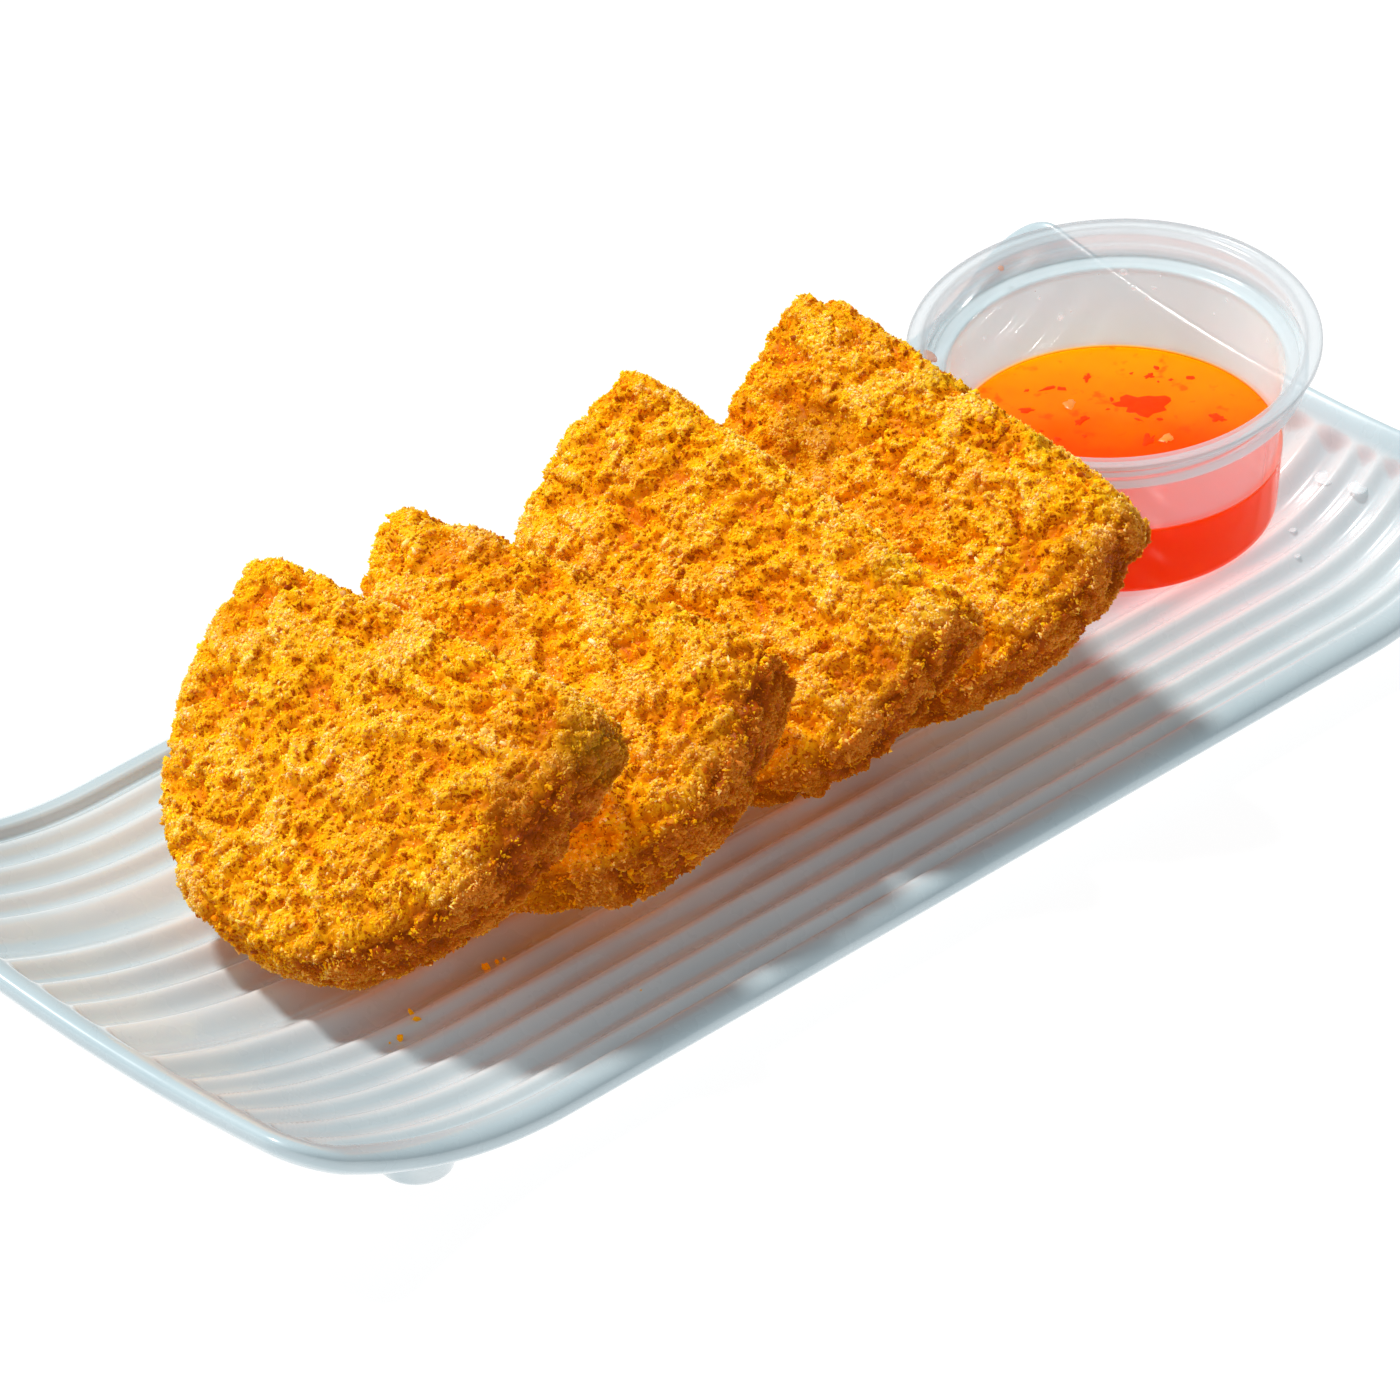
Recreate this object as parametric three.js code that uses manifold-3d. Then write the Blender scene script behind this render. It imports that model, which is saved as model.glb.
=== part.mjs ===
// A long rippled porcelain plate with four breaded pumpkin croquettes leaning on one another, and a
// clear cup of orange dipping sauce. Millimetres, +Z up. The origin is on the table, under the middle
// of the plate; +X runs along the plate towards the cup, -Y is the plate's near long side.

import * as THREE from 'three';
import { LoftGeometry } from 'three/addons/geometries/LoftGeometry.js';
import { ImprovedNoise } from 'three/addons/math/ImprovedNoise.js';
import { mergeVertices } from 'three/addons/utils/BufferGeometryUtils.js';
import Module from 'manifold-3d';

const wasm = await Module();
wasm.setup();

// ---- Plate ----
const PLATE_LENGTH = 292;
const PLATE_WIDTH = 127;
const PLATE_CORNER = 11;          // corner radius seen from above
const PLATE_THICK = 5.5;
const FOOT_HEIGHT = 5;            // table to the plate's underside
const CREST_Z = FOOT_HEIGHT + PLATE_THICK;
const EDGE_ROUND = 3.6;           // how far in from the rim the edge starts to round over
const EDGE_FLAT = 0.45;           // half the thickness left at the very rim
const RIM_PLAIN = EDGE_ROUND;     // the ripples start this far in from the rim
const RIM_FADE = 1.6;             // and reach their full depth over this width
const RIM_INSETS = [0.35, 1.4, EDGE_ROUND, EDGE_ROUND + RIM_FADE]; // rows of facets over an end's rim
const SIDE_INSETS = [0, 0.6, 1.7, EDGE_ROUND]; // and over a long side's rim
const RIPPLE_FACETS = 66;         // facets across the rippled top
const UNDERSIDE_SHARES = [0.992, 0.955, 0.7, 0.25]; // their places across each half of the underside
const LEFT_SHARES = [0, 0.3, 0.48, 0.64, 0.78, 0.9]; // rows of facets up the left end's sweep
const RIGHT_SHARES = [0, 0.28, 0.46, 0.62, 0.77, 0.88]; // and up the right end's

// Both ends sweep up. The lift grows with a power of the way from where the sweep starts to the end.
const LEFT_END = { run: 61, rise: 14.4, power: 2 };
const RIGHT_END = { run: 36, rise: 14.4, power: 2.9 };
const CORNER_LIFT = 6;            // how much more the four corners rise than the middle of an end

// Ripples run along the plate. Each has its crest's place across the plate.
const RIPPLE_CRESTS = [-55.5, -48.5, -42, -35, -28.5, -19, -6.5, 2, 10, 18.5, 32, 39, 47, 54];
const RIPPLE_DEPTH_PER_GAP = 0.2; // a valley is this share of the gap between its two crests deep
const RIPPLE_DEPTH_MAX = 2;
const RIPPLE_RIM_INSET = 1.5;     // the outermost valleys end this far in from the long sides

const FOOT_TOP_RADIUS = 8.5;
const FOOT_BASE_RADIUS = 6.5;
const FOOT_INSET_X = 37.5;        // foot centre from the plate's end
const FOOT_INSET_Y = 14.4;        // foot centre from the plate's long side
const FOOT_SINK = 2.5;            // how deep a foot is bedded in the plate
const FOOT_SOFT = 0.8;            // how far its base is cut away round its edge
const FOOT_SIDES = 20;

// ---- Croquettes ----
// Each is a breaded slice: a wide top and a deep round belly, leaning back on the one behind it.
// x, y: place on the plate. lean: slope of its face. turn: about +Z. roll: in its own plane.
// half: half its width. top, belly: height over and under its middle. square, round: how boxy the
// upper and lower halves are. slant: how far the top edge climbs across the width.
const CROQUETTES = [
  { x: -63.8, y: -0.9, lean: 39, turn: -0.8, roll: 3.3, half: 42.7, top: 12.1, belly: 53.9,
    thick: 20.5, square: 8, round: 2.14, slant: 0.03 },
  { x: -28.8, y: -1.9, lean: 30.5, turn: -10, roll: 17.4, half: 41.3, top: 16.1, belly: 46.6,
    thick: 21.5, square: 9.2, round: 2.56, slant: -0.28 },
  { x: 15.4, y: -2.4, lean: 42, turn: -0.2, roll: -6.4, half: 47.7, top: 16.4, belly: 40.8,
    thick: 17.2, square: 9.2, round: 2.44, slant: 0.05 },
  { x: 50.5, y: -11.3, lean: 42.5, turn: -0.3, roll: -1.2, half: 45.2, top: 17.3, belly: 49.3,
    thick: 17.2, square: 8, round: 1.84, slant: -0.04 },
];
const SLICE_EDGE_POWER = 4.6;     // roundness of the slice's edge, from face to face
const SLICE_CROWN = 0.04;         // how much thicker the middle is than the edge, as a share
const CRAG_HEIGHT = [1.0, 0.6];   // height of the coarse and the fine crags of the crust
const CRAG_WIDTH = [10, 5];       // their spacing
const CRAG_SEED_STEP = 7.3;       // each slice has crags of its own
const SLICE_GRID = [22, 16, 3];   // facets across, up and through a slice

// ---- Sauce cup ----
const CUP_X = 104.9;
const CUP_Y = -5;
const CUP_LEAN = 4.1;             // degrees towards -X, as its far side stands on the plate's sweep
const CUP_HEIGHT = 37.1;
const CUP_WALL = 0.9;
const CUP_BASE_RADIUS = 28.7;
const CUP_TAPER = 0.097;          // how much the body's radius grows for each millimetre of height
const CUP_BASE_SOFT = 1.3;        // how far its base is cut away round its edge
const CUP_RECESS = 0.6;           // how far the base's middle stands up from its rim
const CUP_RECESS_INSET = [5, 4];  // from the base's edge in to the recess's top and its foot
const CUP_FLOOR = CUP_WALL + CUP_RECESS;
const CUP_STEP_Z = 29.6;          // where the body ends and the stepped collar starts
const RING_RADIUS = 34.9;         // the ring round the collar's foot
const RING_TOP_Z = 32;
const COLLAR_RADIUS = 34.2;
const STEP_SLOPE = 0.45;          // height of the slopes between body, ring and collar
const RIM_RADIUS = 37.5;
const RIM_THICK = 1.2;
const RIM_SOFT = 0.4;             // how far the rim's edges are cut away
const LEDGE_Z = 30.9;             // the inner ledge, under the collar's inside
const CUP_SIDES = 44;
const SAUCE_DEPTH = 14;           // from the cup's floor up to the level, at the cup's axis
const SAUCE_SPARE = 8;            // the filling is turned this much taller, then cut off at the level

const GAP = 0.3;                  // left between touching pieces

const look = (color, roughness) => new THREE.MeshStandardMaterial({ color, roughness, metalness: 0 });
const GLAZE = look(0xdfe8e9, 0.18);
const CRUST = look(0xd98a1f, 0.8);
const CUP_PLASTIC = look(0xe8edf2, 0.3);
const SAUCE = look(0xf0560f, 0.15);

const clamp = THREE.MathUtils.clamp;
const radians = THREE.MathUtils.degToRad;
const noise = new ImprovedNoise();

// How far the plate's own middle surface is lifted at a place, by its swept-up ends and corners.
function plateSweep(x, y) {
  const end = x < 0 ? LEFT_END : RIGHT_END;
  const way = Math.max(0, (Math.abs(x) - PLATE_LENGTH / 2 + end.run) / end.run);
  const across = (2 * y) / PLATE_WIDTH;
  return end.rise * way ** end.power + CORNER_LIFT * way ** 2 * across ** 2;
}

// Depth of the ripples under crest height, across the plate: a cosine from one crest to the next.
function rippleDepth(y) {
  const side = PLATE_WIDTH / 2 - RIPPLE_RIM_INSET;
  const rims = [-side, ...RIPPLE_CRESTS, side];
  for (let i = 1; i < rims.length; i++) {
    if (y >= rims[i - 1] && y <= rims[i]) {
      const gap = rims[i] - rims[i - 1];
      const depth = Math.min(RIPPLE_DEPTH_MAX, gap * RIPPLE_DEPTH_PER_GAP);
      return (depth / 2) * (1 - Math.cos((2 * Math.PI * (y - rims[i - 1])) / gap));
    }
  }
  return 0;
}

const plateTop = (x, y) => CREST_Z + plateSweep(x, y);

// Half the plate's width at a place along it: straight sides, and quarter circles at the corners.
function halfWidth(x) {
  const into = Math.max(0, Math.abs(x) - (PLATE_LENGTH / 2 - PLATE_CORNER));
  return PLATE_WIDTH / 2 - PLATE_CORNER + Math.sqrt(Math.max(0, PLATE_CORNER ** 2 - into ** 2));
}

// How much of the half thickness is gone at a distance in from the rim: a quarter ellipse.
function edgeRound(distance) {
  const out = clamp(1 - distance / EDGE_ROUND, 0, 1);
  const half = PLATE_THICK / 2;
  return (half - EDGE_FLAT) * (1 - Math.sqrt(1 - out ** 2));
}

// Places from -1 to 1 across the plate: close over the rims and even over the ripples.
function crossPlaces() {
  const rim = SIDE_INSETS.map((inset) => 1 - (2 * inset) / PLATE_WIDTH);
  const inner = rim[rim.length - 1];
  const places = [];
  for (let i = 1; i < RIPPLE_FACETS; i++) {
    places.push(-inner + (2 * inner * i) / RIPPLE_FACETS);
  }
  return [...rim.map((v) => -v), ...places, ...rim.slice().reverse()];
}

// One cross-section of the plate at x: the rippled top from near to far, then the plain underside back.
function plateSection(x) {
  const width = halfWidth(x);
  const fromEnd = PLATE_LENGTH / 2 - Math.abs(x);
  const points = [];
  const inset = (y) => Math.min(width - Math.abs(y), fromEnd);
  for (const place of crossPlaces()) {
    const y = place * width;
    const fade = clamp((inset(y) - RIM_PLAIN) / RIM_FADE, 0, 1);
    const z = plateTop(x, y) - rippleDepth(y) * fade - edgeRound(inset(y));
    points.push(new THREE.Vector3(x, y, z));
  }
  const under = [...UNDERSIDE_SHARES, ...UNDERSIDE_SHARES.map((v) => -v).reverse()];
  for (const place of under) {
    const y = place * width;
    const z = plateTop(x, y) - PLATE_THICK + edgeRound(inset(y));
    points.push(new THREE.Vector3(x, y, z));
  }
  return points.reverse();
}

// Places along the plate of its cross-sections: close together over the swept ends and their rims.
function plateStations() {
  const half = PLATE_LENGTH / 2;
  const left = LEFT_SHARES.map((share) => -half + LEFT_END.run * (1 - share));
  const right = RIGHT_SHARES.map((share) => half - RIGHT_END.run * (1 - share));
  const ends = RIM_INSETS.map((inset) => half - inset);
  return [...ends.map((x) => -x), ...left.reverse(), ...right, ...ends.reverse()];
}

// A closed mesh with shared vertices as a solid that can be joined or cut.
function toSolid(geometry) {
  const bare = new THREE.BufferGeometry().copy(geometry);
  bare.deleteAttribute('normal');
  bare.deleteAttribute('uv');
  const merged = mergeVertices(bare, 1e-4);
  const vertProperties = new Float32Array(merged.attributes.position.array);
  const triVerts = new Uint32Array(merged.index.array);
  return new wasm.Manifold(new wasm.Mesh({ numProp: 3, vertProperties, triVerts }));
}

function fromSolid(solid) {
  const mesh = solid.getMesh();
  const geometry = new THREE.BufferGeometry();
  geometry.setAttribute('position', new THREE.BufferAttribute(new Float32Array(mesh.vertProperties), 3));
  geometry.setIndex(new THREE.BufferAttribute(new Uint32Array(mesh.triVerts), 1));
  geometry.computeVertexNormals();
  return geometry;
}

// A foot is a short tapered stump with a softened base, standing on the table.
function footGeometry(x, y) {
  const top = plateTop(x, y) - PLATE_THICK + FOOT_SINK;
  const profile = [
    [0, 0],
    [FOOT_BASE_RADIUS - FOOT_SOFT, 0],
    [FOOT_BASE_RADIUS, FOOT_SOFT],
    [FOOT_TOP_RADIUS, top],
    [0, top],
  ].map(([r, z]) => new THREE.Vector2(r, z));
  const foot = new THREE.LatheGeometry(profile, FOOT_SIDES);
  foot.rotateX(Math.PI / 2);
  foot.translate(x, y, 0);
  return foot;
}

function plateGeometry() {
  const body = new LoftGeometry(plateStations().map(plateSection), { capStart: true, capEnd: true });
  let plate = toSolid(body);
  for (const sideX of [-1, 1]) {
    for (const sideY of [-1, 1]) {
      const x = sideX * (PLATE_LENGTH / 2 - FOOT_INSET_X);
      const y = sideY * (PLATE_WIDTH / 2 - FOOT_INSET_Y);
      plate = plate.add(toSolid(footGeometry(x, y)));
    }
  }
  return fromSolid(plate);
}

// The slice's outline at an angle: an upper and a lower half of different height and boxiness.
function sliceOutline(slice, angle) {
  const c = Math.cos(angle);
  const s = Math.sin(angle);
  const power = s >= 0 ? slice.square : slice.round;
  const height = s >= 0 ? slice.top : slice.belly;
  const reach = (Math.abs(c) ** power + Math.abs(s) ** power) ** (-1 / power);
  const across = slice.half * reach * c;
  const up = height * reach * s;
  return [across, up + slice.slant * across * clamp(up / slice.top, 0, 1)];
}

// Angle round a square ring through (s, t), which spaces the ring's points evenly.
function ringAngle(s, t) {
  if (Math.abs(s) >= Math.abs(t)) {
    return s === 0 ? 0 : (Math.PI / 4) * (t / s) + (s < 0 ? Math.PI : 0);
  }
  return Math.PI / 2 - (Math.PI / 4) * (s / t) + (t < 0 ? Math.PI : 0);
}

// A box's surface pulled onto a pillow-like slab with the slice's outline.
function slicePoint(slice, s, t, w) {
  const ring = Math.max(Math.abs(s), Math.abs(t));
  const shrink = (ring ** SLICE_EDGE_POWER + Math.abs(w) ** SLICE_EDGE_POWER) ** (-1 / SLICE_EDGE_POWER);
  const [across, up] = sliceOutline(slice, ringAngle(s, t));
  const crown = 1 + SLICE_CROWN * (1 - ring ** 2);
  return [across * ring * shrink, up * ring * shrink, (slice.thick / 2) * w * shrink * crown];
}

// Height of the crust's crags at a point, from two sizes of smooth noise.
function crag(x, y, z, seed) {
  let height = 0;
  CRAG_HEIGHT.forEach((tall, i) => {
    const k = 1 / CRAG_WIDTH[i];
    height += tall * noise.noise(x * k + seed, y * k + 2 * seed, z * k + 3 * seed);
  });
  return height;
}

// The axes of a slice: across it to the near side, up its face, and out of its face to -X and up.
function sliceAxes(slice) {
  const turn = radians(slice.turn);
  const lean = radians(slice.lean);
  const roll = radians(slice.roll);
  const side = new THREE.Vector3(-Math.sin(turn), -Math.cos(turn), 0);
  const ahead = new THREE.Vector3(Math.cos(turn), -Math.sin(turn), 0);
  const climb = ahead.clone().multiplyScalar(Math.cos(lean)).add(new THREE.Vector3(0, 0, Math.sin(lean)));
  const out = ahead.clone().multiplyScalar(-Math.sin(lean)).add(new THREE.Vector3(0, 0, Math.cos(lean)));
  const across = side.clone().multiplyScalar(Math.cos(roll)).addScaledVector(climb, Math.sin(roll));
  const up = climb.clone().multiplyScalar(Math.cos(roll)).addScaledVector(side, -Math.sin(roll));
  return new THREE.Matrix4().makeBasis(across, up, out);
}

// Smallest height of a geometry's points over the plate.
function clearance(geometry) {
  const p = geometry.attributes.position;
  let least = Infinity;
  for (let i = 0; i < p.count; i++) {
    least = Math.min(least, p.getZ(i) - plateTop(p.getX(i), p.getY(i)));
  }
  return least;
}

function sliceGeometry(slice, seed) {
  const box = new THREE.BoxGeometry(2, 2, 2, ...SLICE_GRID);
  box.deleteAttribute('normal');
  box.deleteAttribute('uv');
  const geometry = mergeVertices(box, 1e-4);
  const p = geometry.attributes.position;
  for (let i = 0; i < p.count; i++) {
    p.setXYZ(i, ...slicePoint(slice, p.getX(i), p.getY(i), p.getZ(i)));
  }
  geometry.computeVertexNormals();
  const n = geometry.attributes.normal;
  for (let i = 0; i < p.count; i++) {
    const [x, y, z] = [p.getX(i), p.getY(i), p.getZ(i)];
    const height = crag(x, y, z, seed);
    p.setXYZ(i, x + n.getX(i) * height, y + n.getY(i) * height, z + n.getZ(i) * height);
  }
  geometry.applyMatrix4(sliceAxes(slice));
  geometry.translate(slice.x, slice.y, 0);
  geometry.translate(0, 0, GAP - clearance(geometry));
  geometry.computeVertexNormals();
  return geometry;
}

const cupRadius = (z) => CUP_BASE_RADIUS + CUP_TAPER * z;

// The cup's wall in profile: up the outside, over the rim, and down the inside to the floor.
function cupProfile() {
  const [recessTop, recessFoot] = CUP_RECESS_INSET.map((inset) => CUP_BASE_RADIUS - inset);
  const rimUnder = CUP_HEIGHT - RIM_THICK;
  const lipInner = COLLAR_RADIUS - CUP_WALL;
  return [
    [0, CUP_RECESS],
    [recessTop, CUP_RECESS],
    [recessFoot, 0],
    [CUP_BASE_RADIUS - CUP_BASE_SOFT, 0],
    [CUP_BASE_RADIUS, CUP_BASE_SOFT],
    [cupRadius(CUP_STEP_Z), CUP_STEP_Z],
    [RING_RADIUS, CUP_STEP_Z + STEP_SLOPE],
    [RING_RADIUS, RING_TOP_Z],
    [COLLAR_RADIUS, RING_TOP_Z + STEP_SLOPE],
    [COLLAR_RADIUS, rimUnder],
    [RIM_RADIUS, rimUnder + RIM_SOFT / 2],
    [RIM_RADIUS, CUP_HEIGHT - RIM_SOFT],
    [RIM_RADIUS - RIM_SOFT, CUP_HEIGHT],
    [COLLAR_RADIUS + RIM_SOFT, CUP_HEIGHT],
    [lipInner, CUP_HEIGHT - 2 * RIM_SOFT],
    [lipInner, LEDGE_Z + STEP_SLOPE],
    [cupRadius(CUP_STEP_Z) - CUP_WALL, LEDGE_Z],
    [cupRadius(CUP_BASE_SOFT) - CUP_WALL, CUP_FLOOR + CUP_BASE_SOFT],
    [CUP_BASE_RADIUS - CUP_BASE_SOFT - CUP_WALL, CUP_FLOOR],
    [0, CUP_FLOOR],
  ].map(([r, z]) => new THREE.Vector2(r, z));
}

function latheUp(profile, sides) {
  const geometry = new THREE.LatheGeometry(profile, sides);
  geometry.rotateX(Math.PI / 2);
  return geometry;
}

// Where the cup stands: leaning on its own base circle, a gap above the ripples it rests on.
function cupPlace(geometry) {
  const lean = new THREE.Matrix4().makeRotationY(-radians(CUP_LEAN));
  const placed = geometry.clone().applyMatrix4(lean).translate(CUP_X, CUP_Y, 0);
  return new THREE.Vector3(CUP_X, CUP_Y, GAP - clearance(placed));
}

// The sauce fills the cup's inside up to a level that stays level while the cup leans.
function sauceGeometry(place) {
  const inner = CUP_WALL + GAP;
  const tall = SAUCE_DEPTH + SAUCE_SPARE;
  const floor = CUP_FLOOR + GAP;
  const profile = [
    [0, floor],
    [CUP_BASE_RADIUS - CUP_BASE_SOFT - inner - GAP, floor],
    [cupRadius(floor) - inner, floor + CUP_BASE_SOFT + GAP],
    [cupRadius(tall) - inner, tall],
    [0, tall],
  ].map(([r, z]) => new THREE.Vector2(r, z));
  const filling = latheUp(profile, CUP_SIDES);
  filling.rotateY(-radians(CUP_LEAN));
  filling.translate(place.x, place.y, place.z);
  const level = place.z + (CUP_FLOOR + SAUCE_DEPTH) / Math.cos(radians(CUP_LEAN));
  const below = new THREE.BoxGeometry(3 * RIM_RADIUS, 3 * RIM_RADIUS, 2 * CUP_HEIGHT);
  below.translate(place.x, place.y, level - CUP_HEIGHT);
  return fromSolid(toSolid(filling).intersect(toSolid(below)));
}

function named(name, geometry, material) {
  const mesh = new THREE.Mesh(geometry, material);
  mesh.name = name;
  return mesh;
}

const dish = new THREE.Group();
dish.add(named('plate', plateGeometry(), GLAZE));
CROQUETTES.forEach((slice, i) => {
  dish.add(named(`croquette_${i + 1}`, sliceGeometry(slice, CRAG_SEED_STEP * (i + 1)), CRUST));
});

const cupShape = latheUp(cupProfile(), CUP_SIDES);
const cupSpot = cupPlace(cupShape);
const cup = named('sauce_cup', cupShape, CUP_PLASTIC);
cup.rotation.y = -radians(CUP_LEAN);
cup.position.copy(cupSpot);
dish.add(cup);
dish.add(named('dip_sauce', sauceGeometry(cupSpot), SAUCE));

export default dish;
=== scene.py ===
"""A long rippled plate with four breaded pumpkin slices and an open cup of chili dipping sauce.

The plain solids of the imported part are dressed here: a glazed plate, crusts with their crumbs, a moulded
cup and a sauce with chili in it. Sizes are in millimetres and become metres where a mesh is made.
"""

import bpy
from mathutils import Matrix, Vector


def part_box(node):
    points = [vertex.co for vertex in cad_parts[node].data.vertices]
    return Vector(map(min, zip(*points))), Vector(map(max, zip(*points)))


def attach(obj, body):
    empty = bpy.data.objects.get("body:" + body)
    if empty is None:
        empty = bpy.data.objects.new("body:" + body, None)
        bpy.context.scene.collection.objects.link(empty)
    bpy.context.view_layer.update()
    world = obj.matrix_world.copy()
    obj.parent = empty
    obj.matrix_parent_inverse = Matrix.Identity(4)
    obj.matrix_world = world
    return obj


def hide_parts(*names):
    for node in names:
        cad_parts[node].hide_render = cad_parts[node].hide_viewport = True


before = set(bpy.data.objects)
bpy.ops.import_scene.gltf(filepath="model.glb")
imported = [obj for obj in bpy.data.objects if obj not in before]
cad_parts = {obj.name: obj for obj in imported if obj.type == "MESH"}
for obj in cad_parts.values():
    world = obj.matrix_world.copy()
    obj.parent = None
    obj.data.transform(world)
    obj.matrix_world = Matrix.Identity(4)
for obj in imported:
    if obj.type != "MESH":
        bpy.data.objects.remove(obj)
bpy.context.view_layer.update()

import math

import bpy
import numpy as np
from mathutils import Vector

MM = 0.001
WELD = 1e-3                       # points closer than this are one point
# Where the random draws start; some add the number of the slice or chip.
DRAW_NOISE, DRAW_CRUST, DRAW_SIZES, DRAW_PLACES, DRAW_GRAINS = 11, 10, 40, 70, 90
DRAW_CHILI, DRAW_FLECKS, DRAW_FLECK_SHAPES, DRAW_SEEDS = 300, 77, 400, 500
DRAW_DROPS, DRAW_FALLEN, DRAW_FALLEN_GRAINS = 5, 23, 9

# Plate
PLATE_LENGTH = 292.0
PLATE_WIDTH = 127.0
PLATE_CORNER = 11.0
PLATE_THICK = 5.5
CREST_Z = 10.5
EDGE_ROUND = 3.6
EDGE_FLAT = 0.3
RIM_PLAIN = 4.4                   # the rim has no ripples this far in
RIM_FADE = 1.5                    # and over this much more they come in
LEFT_END = (61.0, 14.4, 2.0)      # run, rise and power of the sweep
RIGHT_END = (36.0, 14.4, 2.9)
CORNER_LIFT = 6.0
CREST_SIDE = 1.5                  # the outermost crests lie this far in from the sides
RIPPLE_CRESTS = (-55.5, -48.5, -42, -35, -28.5, -19, -6.5, 2, 10, 18.5, 32, 39, 47, 54)
RIPPLE_SHARE = 0.27               # depth of a ripple over the gap between its crests
RIPPLE_MOST = 2.5                 # its depth in the widest gaps
RIPPLE_POWER = 0.8
POOL_IN_RIPPLES = 0.7             # how blue the glaze is at the bottom of the deepest ripples
# The band along the rim is bluer and darker: painted shade.
RIM_PAINTED_SHADE = 0.8                 # and in the band along the rim
RIM_PAINTED_SHADE_BAND = (RIM_PLAIN + 0.6, 1.2) # where that band ends, and over how much it fades
OUTLINE_STEPS = (76, 18, 36, 29)  # points along half an end, round a corner and on a side's two parts
FOOT_CENTRE = (108.5, 49.1)
FOOT_RADII = (6.5, 8.5)           # at the table and where it meets the plate

# Croquettes: as the solids, one row each.
SLICES = [dict(zip("x y lean turn roll half top belly thick square round slant".split(), row)) for row in (
    (-63.8, -0.9, 39, -0.8, 3.3, 42.7, 12.1, 53.9, 20.5, 8, 2.14, 0.03),
    (-28.8, -1.9, 30.5, -10, 17.4, 41.3, 16.1, 46.6, 21.5, 9.2, 2.56, -0.28),
    (15.4, -2.4, 42, -0.2, -6.4, 47.7, 16.4, 40.8, 17.2, 9.2, 2.44, 0.05),
    (50.5, -11.3, 42.5, -0.3, -1.2, 45.2, 17.3, 49.3, 17.2, 8, 1.84, -0.04))]
SLICE_EDGE_POWER = 4.6
SLICE_CROWN = 0.04
CRUMB_COAT = 1.1                  # the core lies this far inside the crust's outside
CORE_GRID = (204, 156, 44)        # facets across, up and through
# The two kinds of crumb: how many on each slice, least and most size, and how flat.
FINE_CRUMBS = (49000, 0.2, 0.48, 0.6)
FLAKES = (2300, 0.35, 0.8, 0.42)
SMALL_ONES = 2.2                  # above 1, more of the crumbs are small
CRUMB_JAGS = 0.3                  # how far a crumb's corners are moved
CRUMB_SPANS = ((0.8, 1.6), (0.6, 1.0), (0.7, 1.3))    # length, width and height, least and most
CRUMB_TILT = 0.8
CRUMB_OUT = 0.15                  # its middle over the surface
# The crust's relief: size of each kind of lump, and its share or height.
SHIFT = (3.0, 1.2)                # moves the places, so that clumps come out ragged
CLUMPS = ((6.5, 0.95), (2.8, 0.75))
CLUMP_SHARE, CLUMP_HIGH, CLUMP_MEAN = 0.6, 1.7, 1.32
SWELLS = (11, 0.7, 0.08)          # size, height and mean
SMALL_LUMPS = (1.9, 0.95)
GRAINY = (0.9, 0.3)
LEVEL_OFF = (0.3, 0.8)            # from this height on, and by how much at most
# The crust's tone: a mean, paler on high relief and deeper in the hollows (painted highlight and painted
# shade), and a random spread.
TONE_MEAN, PAINTED_LIGHT_BY_HEIGHT, TONE_SPREAD = 0.56, 0.38, 0.13

# Sauce cup
CUP_CENTRE = (104.9, -5.0)
CUP_LEAN = math.radians(4.1)
CUP_HEIGHT = 37.1
CUP_WALL = 0.9
CUP_BASE_RADIUS = 28.7
CUP_BASE_SOFT = 1.3
CUP_TAPER = 0.097
CUP_RECESS = 0.6
CUP_FLOOR = CUP_WALL + CUP_RECESS
CUP_STEP_Z = 29.6
RING_RADIUS = 34.9
RING_TOP_Z = 32.0
COLLAR_RADIUS = 34.2
RIM_RADIUS = 37.5
RIM_THICK = 1.2
SAUCE_DEPTH = 14.0
SAUCE_IN_WALL = 0.6               # how far the sauce reaches into the cup's wall
MENISCUS = (0.45, 1.1)            # how high the sauce climbs the wall, and over what distance
LIGHT_WAY = (0.69, 0.73)          # level direction in which sauce and cup are lit from behind
CUP_FACETS = (0.6, 120)           # length along the profile at most, and how many round the axis
# How milky the cup is: all of it, its ring, its rim, the rim's edges, the wall that the light is behind,
# which is painted backlight, and what comes on top where no sauce wets it.
MILK, MILK_RING, MILK_RIM, MILK_EDGES, MILK_PAINTED_BACKLIGHT, MILK_DRY = 0.06, 0.2, 0.02, 0.3, 0.38, 0.24


def box_mm(node):
    """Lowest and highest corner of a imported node, in millimetres."""
    return [np.array(corner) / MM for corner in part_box(node)]


# ---- Shapes ----

def unit(vectors):
    """The vectors, each made one long."""
    return vectors / np.linalg.norm(vectors, axis=-1, keepdims=True)


rng = np.random.default_rng(DRAW_NOISE)
SHUFFLE = rng.permutation(256)
SLOPES = unit(rng.normal(size=(256, 3)))


def lumps(points, size, seed=0.0):
    """Smooth noise of about -1 to 1 at points: in each cell of a lattice of the given size, the eight
    corners' random slopes are blended with 6t^5 - 15t^4 + 10t^3."""
    place = points / size + 19.7 * seed
    cell = np.floor(place).astype(np.int64)
    part = place - cell
    ease = part ** 3 * (part * (6 * part - 15) + 10)
    total = np.zeros(len(points))
    for corner in np.ndindex(2, 2, 2):
        at = (cell + corner) & 255
        pick = SHUFFLE[(SHUFFLE[(SHUFFLE[at[:, 0]] + at[:, 1]) & 255] + at[:, 2]) & 255]
        slope = (SLOPES[pick] * (part - corner)).sum(1)
        total += slope * np.where(corner, ease, 1 - ease).prod(1)
    return 1.6 * total


def grid_quads(rows, cols):
    """Quads between the neighbouring points of a grid."""
    i, j = np.meshgrid(np.arange(rows - 1), np.arange(cols - 1), indexing="ij")
    first = (i * cols + j).ravel()
    return np.stack([first, first + cols, first + cols + 1, first + 1], 1)


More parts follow.
